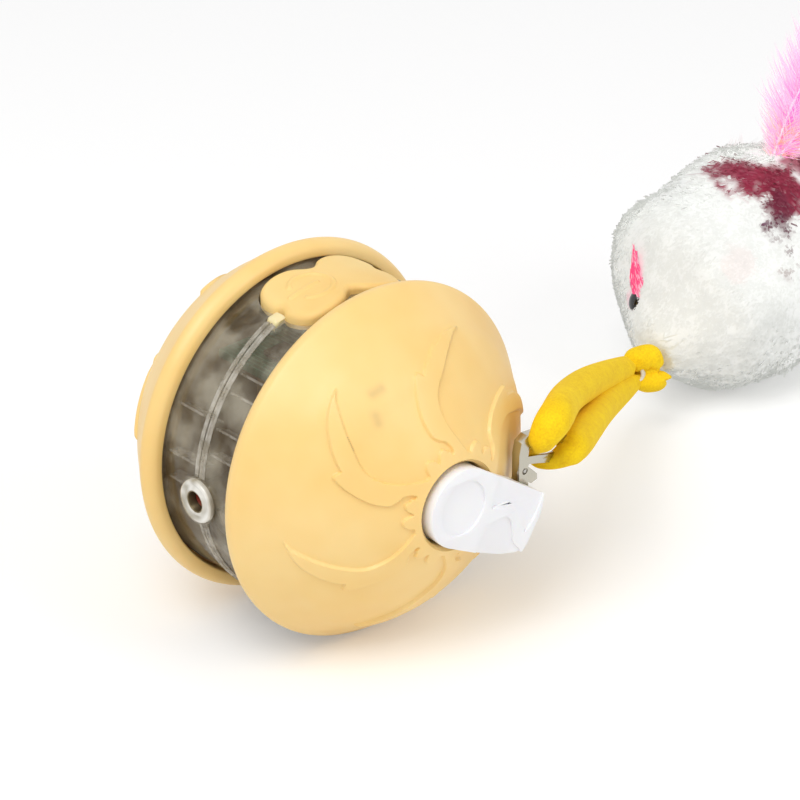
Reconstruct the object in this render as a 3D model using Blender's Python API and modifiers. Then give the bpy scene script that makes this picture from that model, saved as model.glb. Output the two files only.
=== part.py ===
# Motorised cat ball with a laser, and the clip-on mouse teaser that its tail arm carries.
# Metres, +Z up. The wheels turn about X, the tail arm is at +X and the mouse lies at +Y.

import math

import bmesh
import bpy
from mathutils import Matrix, Vector

# Fits shared by every piece
SEAT_GAP = 0.0003
RUNNING_GAP = 0.0006
OVERRUN = 0.001
TURN_STEPS = 42
PLATE_STEPS = 30
SMALL_STEPS = 18
SMOOTH_ANGLE = math.radians(38)

# Wheel: a moulded dome with a tread rim and a raised rosette
TREAD_RADIUS = 0.034
TREAD_INNER_X = 0.0112
TREAD_WIDTH = 0.0016
RIM_NOSE_X = 0.0096
RIM_WALL = 0.0028
RIM_CHAMFER = 0.0006
SHOULDER_DROP = 0.0017
SHOULDER_RUN = 0.0022
BRIM_DROP = 0.0037
BRIM_RUN = 0.0049
CROWN_HEIGHT = 0.0161
CROWN_SHARES = ((0.0, 1.0), (0.217, 0.884), (0.458, 0.691), (0.729, 0.382), (1.0, 0.0))
WHEEL_WALL = 0.00165
ROSETTE_HEIGHT = 0.0004
ROSETTE_FEATHERS = 6
ROSETTE_TURN = math.radians(4)
HUB_HOLE_RADIUS = 0.0080
HUB_HOLE_DEPTH = 0.0049
HUB_WALL = 0.0012
HUB_FILLET = 0.0012

# Drive: a pinion on each motor shaft turns an internal ring gear
RING_TEETH = 48
PINION_TEETH = 10
RING_SEAT_DROP = 0.005
RING_BODY = 0.005
RING_ROOT_SHARE = 1.3
PINION_ROOT_SHARE = 1.25
GEAR_WIDTH = 0.0026
TOOTH_SHARE = 0.41
PINION_TIP_SHARE = 0.5
RING_TIP_SHARE = 0.68
ROOT_SPREAD_SHARE = 1.3
DRIVE_ANGLE = math.radians(-50)
SHAFT_RADIUS = 0.00075
SHAFT_OVERHANG = 0.0005

# End plate that closes the drum and carries the wheel
PLATE_THICKNESS = 0.0015
PLATE_LIP_DEPTH = 0.0015
PLATE_LIP_WALL = 0.0014
AXLE_WALL = 0.0032
SPINDLE_RADIUS = 0.003
THRUST_WASHER_THICKNESS = 0.0018
SHAFT_HOLE_ROOM = 0.0007

# Drum: two clear halves that meet at a raised seam
DRUM_WALL = 0.0015
DRUM_HALF_WIDTH = 0.0115
SEAM_GAP = 0.0003
SEAM_LIP = 0.0004
SEAM_LIP_WIDTH = 0.0006
RIB_THICKNESS = 0.0009
RIB_HEIGHT = 0.0025
RIB_MARGIN = 0.0006
NEAR_RIB_ANGLES = (135.0, 142.5, 156.0, 165.5, 232.0, 305.0)
FAR_RIB_ANGLES = (26.0, 8.0, -2.0, 215.0, 248.0, 318.0)
LASER_Z = -0.0012
LASER_BOSS_RADIUS = 0.0046
LASER_BOSS_HEIGHT = 0.0009
BARREL_RADIUS = 0.0026
BARREL_BORE = 0.0019
BARREL_SHARE = 0.3758
BARREL_LIP = 0.0003
LENS_THICKNESS = 0.0008
LENS_DEPTH = 0.0015

# Power button pad in the drum's top
PAD_HALF_LENGTH = 0.0132
PAD_HALF_WIDTH = 0.0081
PAD_SHARES = ((0.0, 0.65), (0.10, 0.72), (0.23, 0.88), (0.38, 0.97), (0.53, 1.0), (0.72, 0.96), (0.87, 0.83),
              (0.97, 0.69), (1.0, 0.58))
PAD_RISE = 0.0017
PAD_THICKNESS = 0.0027
PAD_TRAVEL = 0.00045
PAD_TAB_WIDTH = 0.003
PAD_TAB_LENGTH = 0.0019
PAD_TAB_THICKNESS = 0.0012
PAD_STEM_RADIUS = 0.0018

# Electronics on the chassis
BOARD_LENGTH_SHARE = 0.5556
BOARD_HALF_WIDTH = 0.0102
BOARD_THICKNESS = 0.0016
BOARD_RISE_SHARE = 0.6046
SWITCH_SIDE = 0.006
SWITCH_HEIGHT = 0.0035
PLUNGER_RADIUS = 0.0015
PLUNGER_HEIGHT = 0.0015
CHIP_SIDE = 0.005
CHIP_HEIGHT = 0.001
CHIP_SHARE = -0.343
SOCKET_LENGTH = 0.0073
SOCKET_WIDTH = 0.0089
SOCKET_HEIGHT = 0.0032
SOCKET_WALL = 0.0004
SOCKET_OVERHANG = 0.0012
PORT_HEIGHT = 0.0038
BATTERY_RADIUS_SHARE = 0.1634
BATTERY_LENGTH = 0.0212
BATTERY_WEB = 0.0007
MOTOR_RADIUS_SHARE = 0.196
MOTOR_LENGTH = 0.0155
CHASSIS_THICKNESS = 0.003
CHASSIS_TOP_SHARE = -0.196
UPRIGHT_SHARE = 0.4412
UPRIGHT_WIDTH = 0.004
WIRE_RADIUS = 0.00045

# Hub caps: the tail arm at +X and a plain cap at the other side
CAP_BOSS_RADIUS = 0.0075
CAP_PROUD = 0.0004
CAP_EDGE = 0.0005
SCREW_HEAD_RADIUS = 0.002
SCREW_HEAD_HEIGHT = 0.0012
SCREW_SHANK_RADIUS = 0.0008
SCREW_LENGTH = 0.008
CLAMP_WASHER_RADIUS = 0.0046
CLAMP_WASHER_THICKNESS = 0.001

# Tail arm: a white paddle that hangs outwards and down from the hub
ARM_DROOP = math.radians(28)
ARM_PLATE = 0.0011
ARM_DEPTH = 0.0065
ARM_TIP_SHARE = 0.6059
ARM_HALF_WIDTH = 0.0076
ARM_DOME_GAP = 0.0004
ARM_SHARES = ((0.126, 0.961), (0.951, 0.671), (0.995, 0.33), (1.0, 0.13), (0.988, -0.10), (0.970, -0.62),
              (0.945, -0.80), (0.883, -0.875), (0.694, -0.974), (0.417, -1.013), (0.049, -1.0))
ARM_POCKET_DEPTH = 0.0005
HUB_RECESS_RADIUS = 0.0053
LOWER_POCKET_SHARES = ((0.385, -0.36), (0.45, -0.20), (0.56, -0.04), (0.665, -0.12), (0.73, -0.36),
                       (0.80, -0.63), (0.90, -0.74), (0.86, -0.80), (0.68, -0.88), (0.42, -0.91), (0.36, -0.80))
UPPER_POCKET_SHARES = ((0.345, 0.12), (0.40, 0.16), (0.54, 0.32), (0.685, 0.19), (0.80, -0.04), (0.88, -0.34),
                       (0.93, -0.10), (0.95, 0.14), (0.92, 0.54), (0.70, 0.66), (0.39, 0.77), (0.31, 0.66))

# Clasp: a small lobster clasp pinned behind the arm's tip
PIN_ALONG_SHARE = 0.5412
PIN_ACROSS = 0.0025
PIN_RADIUS = 0.0007
PIN_HEAD_RADIUS = 0.0013
PIN_HEAD_THICKNESS = 0.0004
PIN_REACH = 0.0017
CLASP_SET_BACK = 0.0052
CLASP_THICKNESS = 0.0019
CLASP_EYE_RADIUS = 0.0018
CLASP_SWING_ROOM = 0.0020
CLASP_SCALE = 0.0135
CLASP_SHARES = ((-0.115, 0.07), (-0.065, 0.33), (-0.06, 0.68), (-0.02, 0.86), (0.10, 0.93), (0.30, 0.91),
                (0.60, 0.81), (0.84, 0.65), (0.94, 0.52), (0.93, 0.43), (0.85, 0.43), (0.79, 0.53),
                (0.58, 0.68), (0.36, 0.785), (0.20, 0.785), (0.12, 0.71), (0.10, 0.58), (0.10, 0.36),
                (0.115, 0.07))
LEVER_SHARES = ((0.135, 0.58), (0.33, 0.53), (0.55, 0.465), (0.80, 0.44), (0.80, 0.335), (0.55, 0.335),
                (0.33, 0.41), (0.16, 0.46), (0.145, 0.43), (0.31, 0.26), (0.31, 0.18), (0.20, 0.15),
                (0.135, 0.20), (0.0, 0.36), (0.0, 0.45), (0.06, 0.50), (0.135, 0.51))
LEVER_PIN_SHARES = (0.045, 0.41)
LEVER_BAR_SHARES = (0.45, 0.46)
CLASP_SLOT_SHARES = (-0.025, 0.10, 0.17, 0.58)
LEVER_THICKNESS_SHARE = 0.4
PIN_STEPS = 12
LEVER_PIN_RADIUS = 0.00035

# Velvet strap that loops round the clasp's lever. Its places, the knot's and the mouse's are from the
# clasp's pin
STRAP_RADIUS = 0.0024
STRAP_ROUTE = ((-0.0047, 0.0647, -0.0108, 0.56), (-0.0026, 0.0612, -0.0082, 0.86), (0.0108, 0.0401, 0.0014, 1.08),
               (0.0245, 0.0211, 0.0088, 1.06), (0.0350, 0.0094, 0.0130, 0.96), (0.0356, 0.0056, 0.0118, 0.66),
               (0.0340, 0.0051, 0.0096, 0.50), (0.0315, 0.0052, 0.0089, 0.46), (0.0293, 0.0053, 0.0076, 0.46),
               (0.0284, 0.0057, 0.0052, 0.46), (0.0291, 0.0067, 0.0030, 0.45), (0.0313, 0.0080, 0.0023, 0.45),
               (0.0342, 0.0103, 0.0030, 0.68), (0.0358, 0.0138, 0.0054, 0.92), (0.0288, 0.0251, 0.0026, 1.06),
               (0.0148, 0.0428, -0.0044, 1.08), (0.0018, 0.0626, -0.0124, 0.86), (-0.0019, 0.0659, -0.0138, 0.56))
KNOT = (-0.0065, 0.0694, -0.0129)
KNOT_RADIUS = 0.0046
KNOT_STRETCH_SHARES = (0.95, 0.8, 1.0)
KNOT_LOBE_STRETCH_SHARES = (0.75, 0.7, 0.8)
KNOT_LOBE_PLACE_SHARES = (0.75, 0.0, -0.35)
KNOT_COLUMNS = 14
KNOT_ROWS = 8
KNOT_CUTTER_SHARE = 6
WRAP_RADIUS = 0.0059
WRAP_FLATTEN_SHARE = 0.66
WRAP_CORD_RADIUS = 0.0005
WRAP_CORD_SIDES = 6
WRAP_AHEAD_SHARE = 0.45

# Stuffed mouse
MOUSE_CENTRE = (-0.0106, 0.1056, -0.0038)
MOUSE_RADIUS = 0.0238
MOUSE_HALF_LENGTH = 0.0250
MOUSE_COLUMNS = 22
MOUSE_ROWS = 12
MOUSE_CUTTER_SHARE = 4
HEAD_SHARES = ((0.38, 0.845), (0.557, 0.71), (0.663, 0.54), (0.748, 0.345), (0.82, 0.215), (0.882, 0.12))
HEAD_SINK_SHARE = 0.2
EYE_PLACE = (-0.0128, 0.0779, -0.0050)
EAR_PLACE = (-0.0171, 0.0788, 0.0002)
EYE_RADIUS = 0.0016
EYE_COLUMNS = 12
EYE_ROWS = 8
EAR_LENGTH = 0.0105
EAR_WIDTH = 0.0052
EAR_THICKNESS = 0.0012
EAR_SHARES = ((0.0, -1.0), (0.55, -0.6), (0.95, -0.05), (0.75, 0.5), (0.0, 1.0))
FEATHER_LENGTH = 0.044
FEATHER_WIDTH = 0.022
FEATHER_THICKNESS = 0.0012
FEATHER_SINK = 0.0015
FEATHER_BACK_SHARE = 0.42
FEATHER_SHARES = ((0.12, 0.0), (0.36, 0.16), (0.60, 0.22), (0.72, 0.38), (0.98, 0.46), (0.88, 0.60), (1.0, 0.72),
                  (0.74, 0.80), (0.62, 0.93), (0.34, 0.91), (0.10, 1.0))
FEATHER_LEFT_SHARE = 0.97

# Sizes that follow from the ones above
FLOOR_Z = -TREAD_RADIUS * math.cos(math.pi / TURN_STEPS)
TREAD_OUTER_X = TREAD_INNER_X + TREAD_WIDTH
BRIM_X = TREAD_OUTER_X + BRIM_RUN
BRIM_RADIUS = TREAD_RADIUS - BRIM_DROP
CROWN_X = BRIM_X + CROWN_HEIGHT
RIM_INNER_RADIUS = TREAD_RADIUS - RIM_WALL
DRUM_RADIUS = RIM_INNER_RADIUS - RUNNING_GAP
PLATE_INNER_X = DRUM_HALF_WIDTH + SEAT_GAP
PLATE_OUTER_X = PLATE_INNER_X + PLATE_THICKNESS
AXLE_BORE = SPINDLE_RADIUS + SEAT_GAP
AXLE_RADIUS = AXLE_BORE + AXLE_WALL
HUB_BORE = AXLE_RADIUS + RUNNING_GAP / 2
HUB_OUTER = HUB_HOLE_RADIUS + HUB_WALL
HUB_SHOULDER_X = CROWN_X - HUB_HOLE_DEPTH
GEAR_INNER_X = PLATE_OUTER_X + RUNNING_GAP + RUNNING_GAP
GEAR_OUTER_X = GEAR_INNER_X + GEAR_WIDTH
RING_OUTER_RADIUS = TREAD_RADIUS - RING_SEAT_DROP
RING_PITCH_RADIUS = RING_OUTER_RADIUS - RING_BODY
GEAR_MODULE = RING_PITCH_RADIUS * 2 / RING_TEETH
PINION_PITCH_RADIUS = GEAR_MODULE * PINION_TEETH / 2
RING_ROOT_ROOM = RING_ROOT_SHARE * GEAR_MODULE
PINION_ROOT_DROP = PINION_ROOT_SHARE * GEAR_MODULE
DRIVE_RADIUS = RING_PITCH_RADIUS - PINION_PITCH_RADIUS
WASHER_INNER_X = HUB_SHOULDER_X + SEAT_GAP
AXLE_END_X = WASHER_INNER_X + THRUST_WASHER_THICKNESS
CAP_BACK_X = AXLE_END_X + SEAT_GAP
CAP_TOP_X = CROWN_X + CAP_PROUD
ARM_BACK_X = CROWN_X + ROSETTE_HEIGHT + ARM_DOME_GAP
ARM_FRONT_X = ARM_BACK_X + ARM_PLATE
ARM_TIP = ARM_TIP_SHARE * TREAD_RADIUS
PIN_ALONG = PIN_ALONG_SHARE * TREAD_RADIUS
CLASP_BACK_X = ARM_FRONT_X - CLASP_SET_BACK
DRUM_INNER_RADIUS = DRUM_RADIUS - DRUM_WALL
RIB_INNER_RADIUS = DRUM_INNER_RADIUS - RIB_HEIGHT
PAD_RADIUS = DRUM_RADIUS + PAD_RISE
BARREL_LENGTH = BARREL_SHARE * DRUM_RADIUS
BOARD_HALF_LENGTH = BOARD_LENGTH_SHARE * DRUM_RADIUS
BOARD_UNDERSIDE_Z = BOARD_RISE_SHARE * DRUM_RADIUS
CHIP_Y = CHIP_SHARE * DRUM_RADIUS
BATTERY_RADIUS = BATTERY_RADIUS_SHARE * DRUM_RADIUS
BATTERY_Z = BATTERY_RADIUS + SEAT_GAP + BATTERY_WEB + SEAT_GAP - RIB_INNER_RADIUS
MOTOR_RADIUS = MOTOR_RADIUS_SHARE * DRUM_RADIUS
CHASSIS_TOP_Z = CHASSIS_TOP_SHARE * DRUM_RADIUS
UPRIGHT_Y = UPRIGHT_SHARE * DRUM_RADIUS
BOARD_TOP_Z = BOARD_UNDERSIDE_Z + BOARD_THICKNESS
SWITCH_TOP_Z = BOARD_TOP_Z + SEAT_GAP + SWITCH_HEIGHT
PLUNGER_TOP_Z = SWITCH_TOP_Z + PLUNGER_HEIGHT
LASER_FACE_Y = -DRUM_RADIUS - LASER_BOSS_HEIGHT

# Frames: a piece turned about X, and the arm's own directions in the YZ plane
ALONG_X = (math.pi / 2, 0.0, math.pi / 2)
ALONG_Y = (-math.pi / 2, 0.0, 0.0)
ARM_ALONG = (math.cos(ARM_DROOP), -math.sin(ARM_DROOP))
ARM_ACROSS = (math.sin(ARM_DROOP), math.cos(ARM_DROOP))
PIN_Y = PIN_ALONG * ARM_ALONG[0] + PIN_ACROSS * ARM_ACROSS[0]
PIN_Z = PIN_ALONG * ARM_ALONG[1] + PIN_ACROSS * ARM_ACROSS[1]

# Rosette feather: shares of the tread radius and degrees from the feather's tip
FEATHER_OUTLINE_SHARES = ((0.838, 0.0), (0.80, 12.0), (0.73, 21.0), (0.665, 27.0), (0.69, 31.0), (0.59, 36.5),
                          (0.465, 40.0), (0.40, 39.0), (0.34, 30.0), (0.292, 27.0))
SCALLOP_SHARES = ((0.337, 38.0), (0.292, 48.5), (0.337, 59.0))
INNER_EDGE_SHARES = ((0.285, 70.0), (0.396, 82.3), (0.50, 84.0), (0.64, 77.0), (0.77, 68.5))

# Wires: each one's route in shares of the drum's radius
WIRE_ROUTE_SHARES = {
    'laser_wire_blue': ((0.039, -0.654, 0.059), (0.098, -0.654, 0.098), (0.203, -0.641, 0.229),
        (0.235, -0.614, 0.392), (0.229, -0.539, 0.523), (0.216, -0.490, 0.588)),
    'laser_wire_red': ((0.016, -0.614, 0.062), (0.072, -0.621, 0.137), (0.098, -0.641, 0.261),
        (0.111, -0.621, 0.408), (0.118, -0.556, 0.516), (0.118, -0.507, 0.588)),
    'cell_wire_red': ((0.196, 0.026, -0.480), (0.203, 0.098, -0.327), (0.209, 0.196, -0.098),
        (0.216, 0.261, 0.196), (0.216, 0.268, 0.425), (0.216, 0.261, 0.588)),
    'cell_wire_black': ((0.255, -0.026, -0.480), (0.248, -0.131, -0.310), (0.229, -0.222, -0.065),
        (0.222, -0.242, 0.196), (0.222, -0.216, 0.425), (0.216, -0.196, 0.588)),
}


def clear_scene():
    for item in list(bpy.data.objects):
        bpy.data.objects.remove(item)


def make_collection(name):
    collection = bpy.data.collections.new(name)
    bpy.context.scene.collection.children.link(collection)
    return collection


clear_scene()
PARTS = make_collection('cat_laser_ball')
CUTTERS = make_collection('cutters')


def material(name, colour, roughness, metallic=0.0, alpha=1.0):
    made = bpy.data.materials.new(name)
    made.use_nodes = True
    shader = made.node_tree.nodes['Principled BSDF']
    shader.inputs['Base Color'].default_value = (*colour, 1.0)
    shader.inputs['Roughness'].default_value = roughness
    shader.inputs['Metallic'].default_value = metallic
    shader.inputs['Alpha'].default_value = alpha
    return made


CREAM_ABS = material('cream_abs', (0.94, 0.76, 0.42), 0.38)
CREAM_PAD = material('cream_pad', (0.92, 0.78, 0.50), 0.45)
WHITE_ABS = material('white_abs', (0.88, 0.88, 0.90), 0.35)
CLEAR_PC = material('clear_polycarbonate', (0.80, 0.80, 0.78), 0.12, alpha=0.35)
GREY_ABS = material('grey_abs', (0.35, 0.35, 0.36), 0.5)
ACETAL = material('acetal', (0.85, 0.84, 0.80), 0.4)
BOARD_GREEN = material('board_green', (0.05, 0.30, 0.14), 0.4)
CHIP_BLACK = material('chip_black', (0.03, 0.03, 0.03), 0.5)
STEEL = material('steel', (0.55, 0.55, 0.56), 0.3, 1.0)
NICKEL = material('nickel', (0.52, 0.50, 0.44), 0.25, 1.0)
BRASS = material('brass', (0.70, 0.48, 0.20), 0.3, 1.0)
LENS_RED = material('lens_red', (0.30, 0.02, 0.02), 0.05)
BATTERY_BLUE = material('battery_sleeve', (0.05, 0.16, 0.45), 0.35)
WIRE_BLUE = material('wire_blue', (0.03, 0.16, 0.65), 0.4)
WIRE_RED = material('wire_red', (0.60, 0.03, 0.03), 0.4)
WIRE_BLACK = material('wire_black', (0.03, 0.03, 0.03), 0.4)
VELVET = material('yellow_velvet', (0.85, 0.62, 0.01), 0.9)
ELASTIC = material('white_elastic', (0.75, 0.73, 0.66), 0.9)
WHITE_FUR = material('white_fur', (0.82, 0.80, 0.74), 0.95)
PINK_FELT = material('pink_felt', (0.85, 0.20, 0.30), 0.9)
EYE_BLACK = material('eye_black', (0.01, 0.01, 0.01), 0.1)
PINK_FEATHER = material('pink_feather', (0.88, 0.30, 0.62), 0.8)


def make_empty(name, parent=None, location=(0.0, 0.0, 0.0), rotation=(0.0, 0.0, 0.0)):
    empty = bpy.data.objects.new(name, None)
    PARTS.objects.link(empty)
    empty.parent = parent
    empty.location = location
    empty.rotation_euler = rotation
    return empty


def place(item, parent, location=(0.0, 0.0, 0.0), rotation=(0.0, 0.0, 0.0)):
    item.parent = parent
    item.location = location
    item.rotation_euler = rotation
    return item


def mesh_object(name, mesh, look, collection=None):
    item = bpy.data.objects.new(name, mesh)
    (collection or PARTS).objects.link(item)
    if look:
        mesh.materials.append(look)
    return item


def smooth(item):
    item.data.shade_smooth()
    item.data.set_sharp_from_angle(angle=SMOOTH_ANGLE)
    return item


def cutter_look(item):
    item.hide_render = True
    item.display_type = 'WIRE'
    return item


def turned(name, profile, look, steps=TURN_STEPS, closed=True, collection=None):
    """A shape turned about local Z, with a facet at -Y. The profile of (radius, height) pairs runs down outside."""
    mesh = bpy.data.meshes.new(name)
    start = math.pi / steps - math.pi / 2
    points = [(radius * math.cos(start), radius * math.sin(start), height) for radius, height in profile]
    edges = [(index, index + 1) for index in range(len(points) - 1)]
    if closed:
        edges.append((len(points) - 1, 0))
    mesh.from_pydata(points, edges, [])
    item = mesh_object(name, mesh, look, collection)
    screw = item.modifiers.new('turn', 'SCREW')
    screw.steps = steps
    screw.render_steps = steps
    screw.use_smooth_shade = True
    screw.use_merge_vertices = True
    screw.merge_threshold = 0.00001
    return item


def baked(item):
    """The same object with its modifiers, or its curve, turned into a plain welded mesh."""
    bpy.context.view_layer.update()
    graph = bpy.context.evaluated_depsgraph_get()
    mesh = bpy.data.meshes.new_from_object(item.evaluated_get(graph))
    shell = bmesh.new()
    shell.from_mesh(mesh)
    bmesh.ops.remove_doubles(shell, verts=shell.verts, dist=0.00001)
    bmesh.ops.recalc_face_normals(shell, faces=shell.faces)
    shell.to_mesh(mesh)
    shell.free()
    made = bpy.data.objects.new(item.name + '_mesh', mesh)
    item.users_collection[0].objects.link(made)
    made.parent = item.parent
    made.matrix_basis = item.matrix_basis.copy()
    made.hide_render = item.hide_render
    made.display_type = item.display_type
    name = item.name
    bpy.data.objects.remove(item)
    made.name = name
    return made


def plate(name, outlines, thickness, look, collection=None):
    """A flat plate centred on its own XY plane; outlines after the first are its holes."""
    curve = bpy.data.curves.new(name, 'CURVE')
    curve.dimensions = '2D'
    curve.fill_mode = 'BOTH'
    curve.extrude = thickness / 2
    for outline in outlines:
        spline = curve.splines.new('POLY')
        spline.points.add(len(outline) - 1)
        spline.use_cyclic_u = True
        for point, (across, up) in zip(spline.points, outline):
            point.co = (across, up, 0.0, 1.0)
    if look:
        curve.materials.append(look)
    item = bpy.data.objects.new(name, curve)
    (collection or PARTS).objects.link(item)
    return item


def block(name, size, look, collection=None):
    mesh = bpy.data.meshes.new(name)
    form = bmesh.new()
    bmesh.ops.create_cube(form, size=1.0, matrix=Matrix.Diagonal((*size, 1.0)))
    form.to_mesh(mesh)
    form.free()
    return mesh_object(name, mesh, look, collection)


def cylinder(name, radius, length, look, steps=SMALL_STEPS, collection=None):
    """A cylinder centred on its own origin, along local Z."""
    mesh = bpy.data.meshes.new(name)
    form = bmesh.new()
    bmesh.ops.create_cone(form, cap_ends=True, segments=steps, radius1=radius, radius2=radius, depth=length)
    form.to_mesh(mesh)
    form.free()
    return mesh_object(name, mesh, look, collection)


def combine(target, tool, operation='DIFFERENCE'):
    """Adds a Boolean of the tool to the target and moves the tool among the cutters."""
    step = target.modifiers.new(operation.lower(), 'BOOLEAN')
    step.operation = operation
    step.object = tool
    for holder in list(tool.users_collection):
        holder.objects.unlink(tool)
    CUTTERS.objects.link(tool)
    cutter_look(tool)
    return target


def circle(radius, steps=SMALL_STEPS, centre=(0.0, 0.0)):
    turns = [2 * math.pi * index / steps for index in range(steps)]
    return [(centre[0] + radius * math.cos(turn), centre[1] + radius * math.sin(turn)) for turn in turns]


def arc(radius, start, end, steps):
    turns = [start + (end - start) * index / steps for index in range(steps + 1)]
    return [(radius * math.cos(turn), radius * math.sin(turn)) for turn in turns]


def smooth_path(points, per_span):
    """Points along a curve through the given points, of any dimension."""
    knots = [Vector(point) for point in points]
    path = []
    for index in range(len(knots) - 1):
        before = knots[max(index - 1, 0)]
        start = knots[index]
        end = knots[index + 1]
        after = knots[min(index + 2, len(knots) - 1)]
        for step in range(per_span):
            t = step / per_span
            path.append((2 * start + (end - before) * t + (2 * before - 5 * start + 4 * end - after) * t ** 2
                         + (3 * start - before - 3 * end + after) * t ** 3) / 2)
    path.append(knots[-1])
    return path


def grown(outline, distance):
    """The closed outline moved outwards by a distance; it runs anticlockwise."""
    result = []
    count = len(outline)
    for index in range(count):
        here = Vector(outline[index])
        to_here = (here - Vector(outline[index - 1])).normalized()
        from_here = (Vector(outline[(index + 1) % count]) - here).normalized()
        first = Vector((to_here.y, -to_here.x))
        second = Vector((from_here.y, -from_here.x))
        bisector = (first + second).normalized()
        reach = distance / max(bisector.dot(first), 0.5)
        result.append(tuple(here + bisector * reach))
    return result


def prism_along_x(name, outline, start, end, look, collection=None):
    """A flat outline of (Y, Z) points, standing from one X to another."""
    item = plate(name, [outline], end - start, look, collection)
    return place(item, None, ((start + end) / 2, 0.0, 0.0), ALONG_X)


def arm_point(along, across):
    return (along * ARM_ALONG[0] + across * ARM_ACROSS[0], along * ARM_ALONG[1] + across * ARM_ACROSS[1])


# Wheel

def crown_curve(per_span):
    """The dome's outer side from the hub hole down to the brim, as (radius, x)."""
    span = BRIM_RADIUS - HUB_HOLE_RADIUS
    points = [(HUB_HOLE_RADIUS + fall * span, BRIM_X + rise * CROWN_HEIGHT) for rise, fall in CROWN_SHARES]
    return [tuple(point) for point in reversed(smooth_path(points, per_span))]


def offset_curve(points, distance):
    """The curve moved outwards, away from the axle, by a distance."""
    moved = []
    for index, point in enumerate(points):
        before = Vector(points[max(index - 1, 0)])
        after = Vector(points[min(index + 1, len(points) - 1)])
        along = (after - before).normalized()
        moved.append((point[0] - along.y * distance, point[1] + along.x * distance))
    return moved


def wheel_outer():
    shoulder_x = TREAD_OUTER_X + SHOULDER_RUN
    return crown_curve(2) + [
        (TREAD_RADIUS - SHOULDER_DROP, shoulder_x),
        (TREAD_RADIUS - RIM_CHAMFER, TREAD_OUTER_X + RIM_CHAMFER),
        (TREAD_RADIUS, TREAD_OUTER_X),
        (TREAD_RADIUS, TREAD_INNER_X),
        (TREAD_RADIUS - RIM_CHAMFER, TREAD_INNER_X - RIM_CHAMFER),
        (RIM_INNER_RADIUS, RIM_NOSE_X),
    ]


def wheel_inner():
    """From the rim's inner edge in to the hub hole: gear seat, dome and hub barrel."""
    seat_radius = RING_OUTER_RADIUS + SEAT_GAP
    seat_x = GEAR_OUTER_X + SEAT_GAP
    inside = offset_curve(crown_curve(1), -WHEEL_WALL)
    inside = [point for point in reversed(inside) if point[1] > seat_x and point[0] > HUB_OUTER + HUB_FILLET]
    ceiling = CROWN_X - WHEEL_WALL
    return [
        (RIM_INNER_RADIUS, GEAR_INNER_X - SEAT_GAP),
        (seat_radius, GEAR_INNER_X - SEAT_GAP),
        (seat_radius, seat_x),
    ] + inside + [
        (HUB_OUTER + HUB_FILLET, ceiling - HUB_FILLET),
        (HUB_OUTER, GEAR_INNER_X),
        (HUB_BORE, GEAR_INNER_X),
        (HUB_BORE, HUB_SHOULDER_X),
        (HUB_HOLE_RADIUS, HUB_SHOULDER_X),
    ]


def rosette_outline():
    points = []
    pitch = 360.0 / ROSETTE_FEATHERS
    for feather in range(ROSETTE_FEATHERS):
        for share, turn in FEATHER_OUTLINE_SHARES + SCALLOP_SHARES + INNER_EDGE_SHARES:
            angle = ROSETTE_TURN + math.radians(turn + feather * pitch)
            points.append((share * TREAD_RADIUS * math.cos(angle), share * TREAD_RADIUS * math.sin(angle)))
    return points


def make_wheel(side, parent):
    outer = wheel_outer()
    wheel = turned('wheel_dome_' + side, outer + wheel_inner(), CREAM_ABS)
    place(wheel, parent, rotation=ALONG_X)
    crown = crown_curve(2)
    skin_top = offset_curve(crown, ROSETTE_HEIGHT)
    skin_bottom = offset_curve(crown, -WHEEL_WALL / 2)
    inner_edge = HUB_HOLE_RADIUS
    skin_top = [(inner_edge, skin_top[0][1])] + [point for point in skin_top if point[0] > inner_edge]
    skin_bottom = [point for point in reversed(skin_bottom) if point[0] > inner_edge]
    skin_bottom.append((inner_edge, skin_bottom[-1][1]))
    relief = turned('rosette_' + side, skin_top + skin_bottom, None, collection=CUTTERS)
    place(relief, parent, rotation=ALONG_X)
    prism = prism_along_x('rosette_prism_' + side, rosette_outline(), BRIM_X, ARM_FRONT_X, None, CUTTERS)
    prism.parent = parent
    prism = baked(prism)
    combine(relief, prism, 'INTERSECT')
    combine(wheel, relief, 'UNION')
    smooth_wheel = baked(wheel)
    return smooth(smooth_wheel)


# Drive

def tooth_corners(centre, root_radius, tip_radius, pitch_radius, tooth_angle, tip_share):
    """Four corners of one tooth: root, tip, tip, root, anticlockwise about the axis."""
    half = tooth_angle / 2
    root_half = half * ROOT_SPREAD_SHARE * pitch_radius / root_radius
    tip_half = half * tip_share * pitch_radius / tip_radius
    corners = ((root_radius, -root_half), (tip_radius, -tip_half), (tip_radius, tip_half), (root_radius, root_half))
    return [(radius * math.cos(centre + turn), radius * math.sin(centre + turn)) for radius, turn in corners]


def gear_outline(teeth, root_radius, tip_radius, tip_share, first):
    pitch = 2 * math.pi / teeth
    points = []
    for index in range(teeth):
        points += tooth_corners(first + index * pitch, root_radius, tip_radius, GEAR_MODULE * teeth / 2,
                                pitch * TOOTH_SHARE, tip_share)
    return points


def make_ring_gear(side, parent):
    half_pitch = math.pi / RING_TEETH
    teeth = gear_outline(RING_TEETH, RING_PITCH_RADIUS + RING_ROOT_ROOM, RING_PITCH_RADIUS - GEAR_MODULE,
                         RING_TIP_SHARE, DRIVE_ANGLE + half_pitch)
    ring = plate('ring_gear_' + side, [circle(RING_OUTER_RADIUS, TURN_STEPS), teeth], GEAR_WIDTH, ACETAL)
    place(ring, parent, ((GEAR_INNER_X + GEAR_OUTER_X) / 2, 0.0, 0.0), ALONG_X)
    return baked(ring)


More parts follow.
